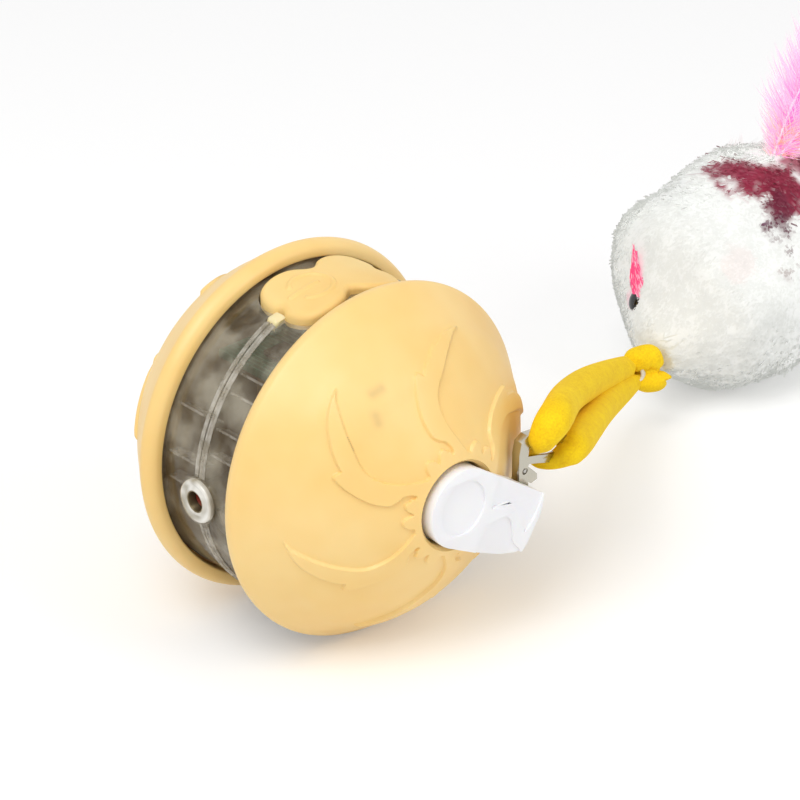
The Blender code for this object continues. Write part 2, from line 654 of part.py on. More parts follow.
def make_pinion(side, parent):
    """The pinion and its shaft turn about their own empty."""
    teeth = gear_outline(PINION_TEETH, PINION_PITCH_RADIUS - PINION_ROOT_DROP, PINION_PITCH_RADIUS + GEAR_MODULE,
                         PINION_TIP_SHARE, DRIVE_ANGLE)
    bore = circle(SHAFT_RADIUS + SEAT_GAP, 12)
    pinion = plate('pinion_' + side, [teeth, bore], GEAR_WIDTH, ACETAL)
    place(pinion, parent, ((GEAR_INNER_X + GEAR_OUTER_X) / 2, 0.0, 0.0), ALONG_X)
    start = DRUM_HALF_WIDTH - OVERRUN - OVERRUN
    end = GEAR_OUTER_X + SHAFT_OVERHANG
    shaft = cylinder('pinion_shaft_' + side, SHAFT_RADIUS, end - start, STEEL, 12)
    place(shaft, parent, ((start + end) / 2, 0.0, 0.0), ALONG_X)
    return smooth(baked(pinion)), smooth(shaft)


# End plate, thrust washer and the clamp that holds a hub cap

def drive_place():
    return (DRIVE_RADIUS * math.cos(DRIVE_ANGLE), DRIVE_RADIUS * math.sin(DRIVE_ANGLE))


def make_end_plate(side, parent):
    lip_radius = DRUM_INNER_RADIUS - SEAT_GAP
    profile = [
        (AXLE_RADIUS, AXLE_END_X),
        (AXLE_RADIUS, PLATE_OUTER_X),
        (DRUM_RADIUS, PLATE_OUTER_X),
        (DRUM_RADIUS, PLATE_INNER_X),
        (lip_radius, PLATE_INNER_X),
        (lip_radius, PLATE_INNER_X - PLATE_LIP_DEPTH),
        (lip_radius - PLATE_LIP_WALL, PLATE_INNER_X - PLATE_LIP_DEPTH),
        (lip_radius - PLATE_LIP_WALL, PLATE_INNER_X),
        (AXLE_BORE, PLATE_INNER_X),
        (AXLE_BORE, AXLE_END_X),
    ]
    end_plate = turned('end_plate_' + side, profile, GREY_ABS, PLATE_STEPS)
    place(end_plate, parent, rotation=ALONG_X)
    end_plate = baked(end_plate)
    hole = cylinder('shaft_hole_' + side, SHAFT_RADIUS + SHAFT_HOLE_ROOM, PLATE_THICKNESS + OVERRUN + OVERRUN, None)
    place(hole, parent, ((PLATE_INNER_X + PLATE_OUTER_X) / 2, *drive_place()), ALONG_X)
    combine(end_plate, hole)
    return smooth(end_plate)


def make_ring(name, inner, outer, start, end, look, parent, steps=PLATE_STEPS):
    profile = [(outer, end), (outer, start), (inner, start), (inner, end)]
    return place(turned(name, profile, look, steps), parent, rotation=ALONG_X)


def make_cap_clamp(side, parent):
    """The washer and screw that hold a hub cap's spindle from inside the drum."""
    washer_end = PLATE_INNER_X - SEAT_GAP
    washer_start = washer_end - CLAMP_WASHER_THICKNESS
    make_ring('spindle_washer_' + side, SCREW_SHANK_RADIUS + SEAT_GAP, CLAMP_WASHER_RADIUS, washer_start,
              washer_end, STEEL, parent, SMALL_STEPS)
    head_end = washer_start - SEAT_GAP
    profile = [
        (0.0, head_end + SCREW_LENGTH),
        (SCREW_SHANK_RADIUS, head_end + SCREW_LENGTH),
        (SCREW_SHANK_RADIUS, head_end),
        (SCREW_HEAD_RADIUS, head_end),
        (SCREW_HEAD_RADIUS, head_end - SCREW_HEAD_HEIGHT),
        (0.0, head_end - SCREW_HEAD_HEIGHT),
    ]
    screw = turned('spindle_screw_' + side, profile, STEEL, SMALL_STEPS, closed=False)
    place(screw, parent, rotation=ALONG_X)
    return screw


def spindle_profile(top_x, top_radius, edge):
    """A cap boss on the spindle, with the screw's pilot hole in the spindle's end."""
    pilot = SCREW_SHANK_RADIUS + SEAT_GAP
    end_x = PLATE_INNER_X
    pilot_x = end_x + SCREW_LENGTH
    return [
        (0.0, top_x),
        (top_radius - edge, top_x),
        (top_radius, top_x - edge),
        (CAP_BOSS_RADIUS, CAP_BACK_X),
        (SPINDLE_RADIUS, CAP_BACK_X),
        (SPINDLE_RADIUS, end_x),
        (pilot, end_x),
        (pilot, pilot_x),
        (0.0, pilot_x),
    ]


def make_plain_cap(parent):
    profile = spindle_profile(CAP_TOP_X, CAP_BOSS_RADIUS, CAP_EDGE)
    cap = turned('far_hub_cap', profile, WHITE_ABS, PLATE_STEPS, closed=False)
    place(cap, parent, rotation=ALONG_X)
    return cap


# Drum

def pad_outline():
    """The button's waisted outline, anticlockwise, as (X, Y)."""
    side = [(share * PAD_HALF_WIDTH, along * PAD_HALF_LENGTH) for along, share in PAD_SHARES]
    lower = [(across, -along) for across, along in side[:0:-1]]
    right = lower + side
    left = [(-across, -along) for across, along in right]
    return right + left


def half_space(name, parent):
    """Everything on the outer side of the seam."""
    size = (DRUM_RADIUS, DRUM_RADIUS * 3, DRUM_RADIUS * 3)
    box = block(name, size, None)
    return place(box, parent, (size[0] / 2 + SEAM_GAP / 2, 0.0, 0.0))


def make_drum_half(side, parent, rib_angles, facing):
    """One clear drum half. Facing is +1 where local -Y is the laser's side, and -1 at the other half."""
    start = SEAM_GAP / 2
    profile = [
        (DRUM_RADIUS, DRUM_HALF_WIDTH),
        (DRUM_RADIUS, start + SEAM_LIP_WIDTH),
        (DRUM_RADIUS + SEAM_LIP, start + SEAM_LIP_WIDTH),
        (DRUM_RADIUS + SEAM_LIP, start),
        (DRUM_INNER_RADIUS, start),
        (DRUM_INNER_RADIUS, DRUM_HALF_WIDTH),
    ]
    drum = turned('drum_shell_' + side, profile, CLEAR_PC)
    place(drum, parent, rotation=ALONG_X)
    drum = baked(drum)
    boss_top = DRUM_RADIUS + LASER_BOSS_HEIGHT
    boss_root = DRUM_RADIUS - DRUM_WALL / 2
    boss = cylinder('laser_boss_' + side, LASER_BOSS_RADIUS, boss_top - boss_root, None)
    place(boss, parent, (0.0, -facing * (boss_top + boss_root) / 2, LASER_Z), ALONG_Y)
    keep = half_space('boss_half_' + side, parent)
    combine(boss, keep, 'INTERSECT')
    combine(drum, boss, 'UNION')
    rib_length = DRUM_HALF_WIDTH - PLATE_LIP_DEPTH - RIB_MARGIN - RIB_MARGIN
    rib_depth = RIB_HEIGHT + DRUM_WALL / 2
    rib_middle = RIB_INNER_RADIUS + rib_depth / 2
    for index, degrees in enumerate(rib_angles):
        turn = math.radians(degrees)
        rib = block('drum_rib_%s_%d' % (side, index), (rib_length, rib_depth, RIB_THICKNESS), None)
        place(rib, parent, (RIB_MARGIN + rib_length / 2, rib_middle * math.cos(turn), rib_middle * math.sin(turn)),
              (turn, 0.0, 0.0))
        combine(drum, rib, 'UNION')
    bore = cylinder('laser_bore_' + side, BARREL_RADIUS + SEAT_GAP, DRUM_RADIUS, None)
    place(bore, parent, (0.0, -facing * DRUM_RADIUS, LASER_Z), ALONG_Y)
    combine(drum, bore)
    pocket = plate('pad_pocket_' + side, [grown(pad_outline(), SEAT_GAP)], DRUM_RADIUS, None)
    pocket = baked(place(pocket, parent, (0.0, 0.0, DRUM_RADIUS)))
    combine(drum, pocket)
    notch_reach = PAD_HALF_LENGTH + PAD_TAB_LENGTH + SEAT_GAP
    notch = block('tab_notch_' + side, (PAD_TAB_WIDTH + SEAT_GAP * 2, notch_reach * 2, DRUM_RADIUS), None)
    combine(drum, place(notch, parent, (0.0, 0.0, DRUM_RADIUS)))
    port_z = BOARD_TOP_Z + SEAT_GAP + SOCKET_HEIGHT / 2
    port = block('port_' + side, (SOCKET_WIDTH + SEAT_GAP * 2, DRUM_RADIUS, PORT_HEIGHT), None)
    combine(drum, place(port, parent, (0.0, facing * DRUM_RADIUS, port_z)))
    return drum


def make_laser(parent):
    """The module's brass barrel, open at both ends, with its lens set back in the mouth."""
    face = LASER_FACE_Y - BARREL_LIP
    profile = [
        (BARREL_RADIUS, BARREL_LENGTH),
        (BARREL_RADIUS, 0.0),
        (BARREL_BORE, 0.0),
        (BARREL_BORE, BARREL_LENGTH),
    ]
    barrel = turned('laser_barrel', profile, BRASS, SMALL_STEPS)
    place(barrel, parent, (0.0, face, LASER_Z), ALONG_Y)
    lens = cylinder('laser_lens', BARREL_BORE - SEAT_GAP, LENS_THICKNESS, LENS_RED, SMALL_STEPS)
    place(lens, parent, (0.0, face + LENS_DEPTH + LENS_THICKNESS / 2, LASER_Z), ALONG_Y)
    return barrel, lens


def make_pad(parent):
    """The waisted button: a slice of a drum-shaped shell with a tab at each end and a stem underneath."""
    outline = plate('power_button_pad', [pad_outline()], PAD_RADIUS, CREAM_PAD)
    pad = baked(place(outline, parent, (0.0, 0.0, PAD_RADIUS)))
    inner = PAD_RADIUS - PAD_THICKNESS
    skin = turned('pad_skin', [(PAD_RADIUS, PAD_HALF_WIDTH * 2), (PAD_RADIUS, -PAD_HALF_WIDTH * 2),
                               (inner, -PAD_HALF_WIDTH * 2), (inner, PAD_HALF_WIDTH * 2)], None)
    place(skin, parent, rotation=ALONG_X)
    combine(pad, skin, 'INTERSECT')
    tab_radius = DRUM_RADIUS
    tabs = turned('pad_tabs', [(tab_radius, PAD_TAB_WIDTH / 2), (tab_radius, -PAD_TAB_WIDTH / 2),
                               (tab_radius - PAD_TAB_THICKNESS, -PAD_TAB_WIDTH / 2),
                               (tab_radius - PAD_TAB_THICKNESS, PAD_TAB_WIDTH / 2)], None)
    place(tabs, parent, rotation=ALONG_X)
    tab_reach = PAD_HALF_LENGTH + PAD_TAB_LENGTH
    tab_box = block('pad_tab_box', (PAD_TAB_WIDTH * 2, tab_reach * 2, DRUM_RADIUS), None)
    combine(tabs, place(tab_box, parent, (0.0, 0.0, DRUM_RADIUS)), 'INTERSECT')
    combine(pad, tabs, 'UNION')
    stem_foot = PLUNGER_TOP_Z + PAD_TRAVEL + SEAT_GAP / 2
    stem_top = inner + PAD_THICKNESS / 2
    stem = cylinder('pad_stem', PAD_STEM_RADIUS, stem_top - stem_foot, None, 12)
    combine(pad, place(stem, parent, (0.0, 0.0, (stem_top + stem_foot) / 2)), 'UNION')
    return smooth(baked(pad))


# Inside

def make_chassis(parent):
    """A bulkhead across the drum that carries the motors and the cell, with two posts for the board."""
    reach = RIB_INNER_RADIUS - SEAT_GAP
    end = math.asin(CHASSIS_TOP_Z / reach)
    rim = arc(reach, -math.pi - end, end, TURN_STEPS // 2)
    top = BOARD_UNDERSIDE_Z - SEAT_GAP
    half = UPRIGHT_WIDTH / 2
    posts = []
    for centre in (UPRIGHT_Y, -UPRIGHT_Y):
        posts += [(centre + half, CHASSIS_TOP_Z), (centre + half, top), (centre - half, top),
                  (centre - half, CHASSIS_TOP_Z)]
    across, down = drive_place()
    motor_hole = MOTOR_RADIUS + SEAT_GAP
    holes = [
        circle(motor_hole, TURN_STEPS // 2, (across, down)),
        circle(motor_hole, TURN_STEPS // 2, (-across, down)),
        circle(BATTERY_RADIUS + SEAT_GAP, TURN_STEPS // 2, (0.0, BATTERY_Z)),
    ]
    chassis = plate('chassis', [rim + posts] + holes, CHASSIS_THICKNESS, GREY_ABS)
    return baked(place(chassis, parent, rotation=ALONG_X))


def make_motor(side, parent):
    """A can motor whose front boss is bored for its shaft."""
    face = PLATE_INNER_X - SEAT_GAP
    bore = SHAFT_RADIUS + SEAT_GAP
    profile = [
        (0.0, face),
        (MOTOR_RADIUS, face),
        (MOTOR_RADIUS, face - MOTOR_LENGTH),
        (0.0, face - MOTOR_LENGTH),
    ]
    floor = DRUM_HALF_WIDTH - OVERRUN - OVERRUN - SEAT_GAP
    profile[0:1] = [(0.0, floor), (bore, floor), (bore, face)]
    motor = turned('motor_' + side, profile, STEEL, TURN_STEPS // 2, closed=False)
    return place(motor, parent, (0.0, *drive_place()), ALONG_X)


def make_inside(parent):
    board = block('main_board', (BOARD_HALF_WIDTH * 2, BOARD_HALF_LENGTH * 2, BOARD_THICKNESS), BOARD_GREEN)
    place(board, parent, (0.0, 0.0, BOARD_UNDERSIDE_Z + BOARD_THICKNESS / 2))
    chip = block('controller_chip', (CHIP_SIDE, CHIP_SIDE, CHIP_HEIGHT), CHIP_BLACK)
    place(chip, parent, (0.0, CHIP_Y, BOARD_TOP_Z + SEAT_GAP + CHIP_HEIGHT / 2))
    switch = block('tact_switch', (SWITCH_SIDE, SWITCH_SIDE, SWITCH_HEIGHT), CHIP_BLACK)
    place(switch, parent, (0.0, 0.0, SWITCH_TOP_Z - SWITCH_HEIGHT / 2))
    plunger = cylinder('switch_plunger', PLUNGER_RADIUS, PLUNGER_HEIGHT + OVERRUN, None, 12)
    combine(switch, place(plunger, parent, (0.0, 0.0, PLUNGER_TOP_Z - (PLUNGER_HEIGHT + OVERRUN) / 2)), 'UNION')
    socket_y = BOARD_HALF_LENGTH + SOCKET_OVERHANG - SOCKET_LENGTH / 2
    socket = block('charge_socket', (SOCKET_WIDTH, SOCKET_LENGTH, SOCKET_HEIGHT), STEEL)
    socket_z = BOARD_TOP_Z + SEAT_GAP + SOCKET_HEIGHT / 2
    place(socket, parent, (0.0, socket_y, socket_z))
    mouth = block('socket_mouth', (SOCKET_WIDTH - SOCKET_WALL * 2, SOCKET_LENGTH, SOCKET_HEIGHT - SOCKET_WALL * 2), None)
    combine(socket, place(mouth, parent, (0.0, socket_y + SOCKET_WALL * 2, socket_z)))
    cell = cylinder('battery_cell', BATTERY_RADIUS, BATTERY_LENGTH, BATTERY_BLUE, TURN_STEPS // 2)
    smooth(place(cell, parent, (0.0, 0.0, BATTERY_Z), ALONG_X))


WIRE_LOOKS = {'laser_wire_blue': WIRE_BLUE, 'laser_wire_red': WIRE_RED, 'cell_wire_red': WIRE_RED,
              'cell_wire_black': WIRE_BLACK}


def tube(name, points, radius, look, parent, resolution=1, shares=None):
    curve = bpy.data.curves.new(name, 'CURVE')
    curve.dimensions = '3D'
    curve.bevel_depth = radius
    curve.bevel_resolution = resolution
    curve.use_fill_caps = True
    curve.materials.append(look)
    spline = curve.splines.new('POLY')
    spline.points.add(len(points) - 1)
    for index, point in enumerate(points):
        spline.points[index].co = (*point[:3], 1.0)
        spline.points[index].radius = shares[index] if shares else 1.0
    item = bpy.data.objects.new(name, curve)
    PARTS.objects.link(item)
    return place(item, parent)


def make_wires(parent):
    for name, shares in WIRE_ROUTE_SHARES.items():
        route = [tuple(share * DRUM_RADIUS for share in point) for point in shares]
        tube(name, smooth_path(route, 2), WIRE_RADIUS, WIRE_LOOKS[name], parent)


# Tail arm and clasp

def arm_outline():
    edge = [arm_point(along * ARM_TIP, across * ARM_HALF_WIDTH) for along, across in ARM_SHARES]
    last = ARM_SHARES[-1]
    first = ARM_SHARES[0]
    start = math.atan2(last[1] * ARM_HALF_WIDTH, last[0] * ARM_TIP) - ARM_DROOP
    end = math.atan2(first[1] * ARM_HALF_WIDTH, first[0] * ARM_TIP) - ARM_DROOP - 2 * math.pi
    hub = arc(ARM_HALF_WIDTH, start, end, TURN_STEPS // 2)
    return edge + hub[1:-1]


def pocket_outline(shares):
    return [arm_point(along * ARM_TIP, across * ARM_HALF_WIDTH) for along, across in shares]


def dome_clearance(parent):
    """The solid that the arm's back must stay outside of: the whole dome with its rosette and a running gap."""
    reach = ROSETTE_HEIGHT + ARM_DOME_GAP
    curve = offset_curve(crown_curve(2), reach)
    top = ARM_BACK_X
    profile = [(0.0, top), (HUB_HOLE_RADIUS, top)] + [point for point in curve if point[0] > HUB_HOLE_RADIUS]
    profile += [(TREAD_RADIUS + OVERRUN, TREAD_OUTER_X), (0.0, TREAD_OUTER_X)]
    return place(turned('dome_clearance', profile, None, closed=False), parent, rotation=ALONG_X)


def make_arm(parent):
    arm = prism_along_x('tail_arm', arm_outline(), ARM_FRONT_X - ARM_DEPTH, ARM_FRONT_X, WHITE_ABS)
    arm.parent = parent
    arm = baked(arm)
    combine(arm, dome_clearance(parent))
    profile = spindle_profile(ARM_FRONT_X - ARM_PLATE / 2, CAP_BOSS_RADIUS, 0.0)
    tail = turned('arm_spindle', profile, None, PLATE_STEPS, closed=False)
    combine(arm, place(tail, parent, rotation=ALONG_X), 'UNION')
    recess_floor = ARM_FRONT_X - ARM_POCKET_DEPTH
    recess = cylinder('hub_recess', HUB_RECESS_RADIUS, ARM_POCKET_DEPTH * 2, None, PLATE_STEPS)
    combine(arm, place(recess, parent, (recess_floor + ARM_POCKET_DEPTH, 0.0, 0.0), ALONG_X))
    for name, shares in (('lower_pocket', LOWER_POCKET_SHARES), ('upper_pocket', UPPER_POCKET_SHARES)):
        pocket = prism_along_x(name, pocket_outline(shares), recess_floor, ARM_FRONT_X + OVERRUN, None)
        pocket.parent = parent
        combine(arm, baked(pocket))
    wall_x = CLASP_BACK_X + CLASP_THICKNESS + SEAT_GAP
    reach = CLASP_EYE_RADIUS + RUNNING_GAP
    corner = arm_point(PIN_ALONG, PIN_ACROSS)
    size = (ARM_DEPTH, ARM_TIP, ARM_TIP)
    bay = block('clasp_bay', size, None)
    middle = arm_point(PIN_ALONG - reach - CLASP_SWING_ROOM + size[1] / 2, PIN_ACROSS - reach + size[2] / 2)
    combine(arm, place(bay, parent, (wall_x - size[0] / 2, *middle), (-ARM_DROOP, 0.0, 0.0)))
    pin_hole = cylinder('pin_hole', PIN_RADIUS + SEAT_GAP, PIN_REACH * 2, None)
    combine(arm, place(pin_hole, parent, (wall_x, *corner), ALONG_X))
    return smooth(baked(arm))


def make_arm_pin(parent):
    """A headed pin pressed into the arm's front wall; the clasp's eye turns on it."""
    head_x = CLASP_BACK_X - SEAT_GAP
    end_x = CLASP_BACK_X + CLASP_THICKNESS + PIN_REACH
    profile = [
        (0.0, end_x),
        (PIN_RADIUS, end_x),
        (PIN_RADIUS, head_x),
        (PIN_HEAD_RADIUS, head_x),
        (PIN_HEAD_RADIUS, head_x - PIN_HEAD_THICKNESS),
        (0.0, head_x - PIN_HEAD_THICKNESS),
    ]
    pin = turned('arm_pin', profile, STEEL, 12, closed=False)
    return place(pin, parent, (0.0, PIN_Y, PIN_Z), ALONG_X)


def clasp_points(shares):
    return [(across * CLASP_SCALE, up * CLASP_SCALE) for across, up in shares]


def make_clasp(parent):
    """The clasp lies in the YZ plane of its hinge: an eye on the pin, a slotted neck and an open hook."""
    middle = CLASP_BACK_X + CLASP_THICKNESS / 2
    edge = clasp_points(CLASP_SHARES)
    lower = arc(CLASP_EYE_RADIUS, math.radians(35), math.radians(-215), 12)
    outline = edge + lower
    pin_hole = circle(PIN_RADIUS + SEAT_GAP, PIN_STEPS)
    body = plate('clasp_body', [outline, pin_hole], CLASP_THICKNESS, NICKEL)
    body = baked(place(body, parent, (middle, 0.0, 0.0), ALONG_X))
    lever_thickness = CLASP_THICKNESS * LEVER_THICKNESS_SHARE
    left, right, bottom, top = (share * CLASP_SCALE for share in CLASP_SLOT_SHARES)
    slot_width = lever_thickness + SEAT_GAP * 2
    slot = block('clasp_slot', (slot_width, right - left + CLASP_SCALE, top - bottom), None)
    combine(body, place(slot, parent, (middle, left + (right - left + CLASP_SCALE) / 2, (top + bottom) / 2)))
    pin_y, pin_z = (share * CLASP_SCALE for share in LEVER_PIN_SHARES)
    hole = cylinder('lever_hole', LEVER_PIN_RADIUS + SEAT_GAP, CLASP_THICKNESS * 2, None, PIN_STEPS)
    combine(body, place(hole, parent, (middle, pin_y, pin_z), ALONG_X))
    body = smooth(baked(body))
    pin = cylinder('lever_pin', LEVER_PIN_RADIUS, CLASP_THICKNESS, NICKEL, 12)
    place(pin, parent, (middle, pin_y, pin_z), ALONG_X)
    lever_frame = make_empty('lever_axis', parent, (0.0, pin_y, pin_z))
    local = [(across - pin_y, up - pin_z) for across, up in clasp_points(LEVER_SHARES)]
    lever = plate('clasp_lever', [local, circle(LEVER_PIN_RADIUS + SEAT_GAP, 12)], lever_thickness, NICKEL)
    place(lever, lever_frame, (middle, 0.0, 0.0), ALONG_X)
    return body, baked(lever)


# Strap, knot and mouse

def relative(points, centre):
    return [tuple(Vector(point[:3]) - Vector(centre)) for point in points]


def make_strap(parent, centre):
    route = smooth_path(STRAP_ROUTE, 2)
    points = relative(route, centre)
    shares = [point[3] for point in route]
    strap = tube('velvet_strap', points, STRAP_RADIUS, VELVET, parent, 2, shares)
    return smooth(baked(strap))


def ball(name, radius, look, stretch=(1.0, 1.0, 1.0), segments=20, rings=12, collection=None):
    mesh = bpy.data.meshes.new(name)
    form = bmesh.new()
    bmesh.ops.create_uvsphere(form, u_segments=segments, v_segments=rings, radius=radius,
                              matrix=Matrix.Diagonal((*stretch, 1.0)))
    form.to_mesh(mesh)
    form.free()
    return mesh_object(name, mesh, look, collection)


def strap_direction():
    """From the mouse's knot back along the strap, towards the clasp."""
    far = (Vector(STRAP_ROUTE[1][:3]) + Vector(STRAP_ROUTE[-2][:3])) / 2
    return (far - Vector(KNOT)).normalized()


def make_knot(parent):
    """Two gathered lobes of velvet, cut flat where the strap ends meet them."""
    knot = ball('strap_knot', KNOT_RADIUS, VELVET, KNOT_STRETCH_SHARES, KNOT_COLUMNS, KNOT_ROWS)
    place(knot, parent)
    lobe = ball('knot_lobe', KNOT_RADIUS, None, KNOT_LOBE_STRETCH_SHARES, KNOT_COLUMNS, KNOT_ROWS)
    lobe_place = [share * KNOT_RADIUS for share in KNOT_LOBE_PLACE_SHARES]
    combine(knot, place(lobe, parent, lobe_place), 'UNION')
    facing = strap_direction()
    cutter_width = KNOT_RADIUS * KNOT_CUTTER_SHARE
    flat = block('knot_flat', (cutter_width, cutter_width, KNOT_RADIUS * 2), None)
    strap_end = (Vector(STRAP_ROUTE[0][:3]) + Vector(STRAP_ROUTE[-1][:3])) / 2 - Vector(KNOT)
    reach = strap_end.dot(facing) - STRAP_RADIUS / 2 - SEAT_GAP
    place(flat, parent, facing * (reach + KNOT_RADIUS), facing.to_track_quat('Z', 'Y').to_euler())
    combine(knot, flat)
    return knot


def head_axis():
    """The mouse's head points from its body's centre to the knot."""
    return (Vector(KNOT) - Vector(MOUSE_CENTRE)).normalized()


def seat_on_head(spot):
    """The place on the head's side below a world point, and the head's outward direction there."""
    reach = (Vector(KNOT) - Vector(MOUSE_CENTRE)).length
    offset = Vector(spot) - Vector(MOUSE_CENTRE)
    ahead = offset.dot(head_axis())
    side = (offset - head_axis() * ahead).normalized()
    share = ahead / reach
    for (start, start_radius), (end, end_radius) in zip(HEAD_SHARES, HEAD_SHARES[1:]):
        if start <= share <= end:
            blend = (share - start) / (end - start)
            radius = (start_radius + (end_radius - start_radius) * blend) * MOUSE_RADIUS
            rise = Vector(((start_radius - end_radius) * MOUSE_RADIUS, (end - start) * reach)).normalized()
            return head_axis() * ahead + side * radius, (head_axis() * rise.x + side * rise.y).normalized()
    return offset, side


def make_mouse(parent):
    centre = Vector(MOUSE_CENTRE) - Vector(KNOT)
    floor = FLOOR_Z - PIN_Z - KNOT[2]
    stretch = (1.0, MOUSE_HALF_LENGTH / MOUSE_RADIUS, 1.0)
    body = ball('mouse_body', MOUSE_RADIUS, WHITE_FUR, stretch, MOUSE_COLUMNS, MOUSE_ROWS)
    place(body, parent, centre)
    cutter_width = MOUSE_RADIUS * MOUSE_CUTTER_SHARE
    below = block('mouse_floor', (cutter_width, cutter_width, MOUSE_RADIUS), None)
    combine(body, place(below, parent, (centre.x, centre.y, floor - MOUSE_RADIUS / 2)))
    reach = centre.length
    sink = MOUSE_RADIUS * HEAD_SINK_SHARE
    profile = [(0.0, -sink), (HEAD_SHARES[0][1] * MOUSE_RADIUS, -sink)]
    profile += [(radius * MOUSE_RADIUS, ahead * reach) for ahead, radius in HEAD_SHARES]
    profile.append((0.0, profile[-1][1]))
    head = turned('mouse_head', profile[::-1], WHITE_FUR, SMALL_STEPS, closed=False)
    place(head, parent, centre, head_axis().to_track_quat('Z', 'Y').to_euler())
    head = baked(head)
    core = ball('head_core', MOUSE_RADIUS + SEAT_GAP, None, stretch, MOUSE_COLUMNS, MOUSE_ROWS)
    combine(head, place(core, parent, centre))
    eye_seat, eye_way = seat_on_head(EYE_PLACE)
    eye = ball('mouse_eye', EYE_RADIUS, EYE_BLACK, segments=EYE_COLUMNS, rings=EYE_ROWS)
    eye = smooth(place(eye, parent, centre + eye_seat))
    socket = ball('eye_socket', EYE_RADIUS + SEAT_GAP, None, segments=EYE_COLUMNS, rings=EYE_ROWS)
    combine(head, place(socket, parent, centre + eye_seat))
    make_ear(parent, centre)
    make_feathers(parent, centre)
    return smooth(baked(body)), smooth(baked(head)), eye


def make_ear(parent, centre):
    """A felt petal that lies against the head."""
    seat, outward = seat_on_head(EAR_PLACE)
    half = EAR_LENGTH / 2
    right = [(across * EAR_WIDTH / 2, up * half) for across, up in EAR_SHARES]
    left = [(-across, up) for across, up in right[-2:0:-1]]
    ear = plate('mouse_ear', [right + left], EAR_THICKNESS, PINK_FELT)
    up = Vector((0.0, 0.0, 1.0))
    across = up.cross(outward).normalized()
    frame = Matrix((across, outward.cross(up.cross(outward)).normalized(), outward)).transposed()
    return place(ear, parent, centre + seat + outward * (EAR_THICKNESS + SEAT_GAP), frame.to_euler())


def make_feathers(parent, centre):
    """One plume of marabou standing on the mouse's back."""
    foot = MOUSE_RADIUS - FEATHER_SINK
    right = [(across * FEATHER_WIDTH / 2, up * FEATHER_LENGTH) for across, up in FEATHER_SHARES]
    left = [(-across, up * FEATHER_LEFT_SHARE) for across, up in right[::-1]]
    plume = plate('tail_feathers', [right + left], FEATHER_THICKNESS, PINK_FEATHER)
    spot = centre + Vector((0.0, MOUSE_HALF_LENGTH * FEATHER_BACK_SHARE, foot))
    return place(plume, parent, spot, (math.pi / 2, 0.0, math.pi / 2))


def make_wrap(parent):
    """The elastic that is wound round both strap ends in front of the knot."""
    turns = [2 * math.pi * index / WRAP_CORD_SIDES for index in range(WRAP_CORD_SIDES)]
    profile = [(WRAP_RADIUS + WRAP_CORD_RADIUS * math.cos(turn), -WRAP_CORD_RADIUS * math.sin(turn))
               for turn in turns]
    wrap = turned('elastic_wrap', profile, ELASTIC, SMALL_STEPS)
    across = (Vector(STRAP_ROUTE[-1][:3]) - Vector(STRAP_ROUTE[0][:3])).normalized()
    facing = strap_direction()
    side = facing.cross(across).normalized()
    frame = Matrix((side.cross(facing).normalized(), side, facing)).transposed()
    middle = (Vector(STRAP_ROUTE[0][:3]) + Vector(STRAP_ROUTE[-1][:3])) / 2 - Vector(KNOT)
    place(wrap, parent, middle + facing * STRAP_RADIUS * WRAP_AHEAD_SHARE, frame.to_euler())
    wrap.scale = (1.0, WRAP_FLATTEN_SHARE, 1.0)
    return baked(wrap)


# Assembly

def lowest_and_sides():
    """The finished model's box, in world space."""
    bpy.context.view_layer.update()
    graph = bpy.context.evaluated_depsgraph_get()
    corners = []
    for item in PARTS.objects:
        if item.type != 'EMPTY':
            mesh = item.evaluated_get(graph).to_mesh()
            corners += [item.matrix_world @ point.co for point in mesh.vertices]
    low = Vector([min(corner[axis] for corner in corners) for axis in range(3)])
    high = Vector([max(corner[axis] for corner in corners) for axis in range(3)])
    return low, high


def make_side(side, parent, rib_angles, facing):
    """Everything that both ends of the ball have; the far end is the near end turned round."""
    make_drum_half(side, parent, rib_angles, facing)
    make_end_plate(side, parent)
    make_ring('thrust_washer_' + side, AXLE_RADIUS + SEAT_GAP, HUB_HOLE_RADIUS - SEAT_GAP, WASHER_INNER_X, AXLE_END_X,
              ACETAL, parent)
    make_cap_clamp(side, parent)
    make_motor(side, parent)
    wheel_axis = make_empty(side + '_wheel_axis', parent)
    make_wheel(side, wheel_axis)
    make_ring_gear(side, wheel_axis)
    pinion_axis = make_empty(side + '_pinion_axis', parent, (0.0, *drive_place()))
    make_pinion(side, pinion_axis)


def build():
    ball_frame = make_empty('ball_frame')
    near_side = make_empty('near_side', ball_frame)
    far_side = make_empty('far_side', ball_frame, rotation=(0.0, 0.0, math.pi))
    make_side('near', near_side, NEAR_RIB_ANGLES, 1)
    make_side('far', far_side, FAR_RIB_ANGLES, -1)
    make_plain_cap(far_side)
    make_laser(ball_frame)
    make_chassis(ball_frame)
    make_inside(ball_frame)
    make_wires(ball_frame)
    make_pad(make_empty('pad_slide', ball_frame))
    arm_axis = make_empty('arm_axis', ball_frame)
    make_arm(arm_axis)
    make_arm_pin(arm_axis)
    clasp_axis = make_empty('clasp_axis', arm_axis, (0.0, PIN_Y, PIN_Z))
    make_clasp(clasp_axis)
    bar_y, bar_z = (share * CLASP_SCALE for share in LEVER_BAR_SHARES)
    strap_place = Vector((CLASP_BACK_X + CLASP_THICKNESS / 2, bar_y, bar_z))
    strap_axis = make_empty('strap_axis', clasp_axis, strap_place)
    make_strap(strap_axis, strap_place)
    knot_axis = make_empty('knot_axis', strap_axis, Vector(KNOT) - strap_place)
    make_knot(knot_axis)
    make_wrap(knot_axis)
    make_mouse(knot_axis)
    low, high = lowest_and_sides()
    ball_frame.location = (-(low.x + high.x) / 2, -(low.y + high.y) / 2, -low.z)


build()
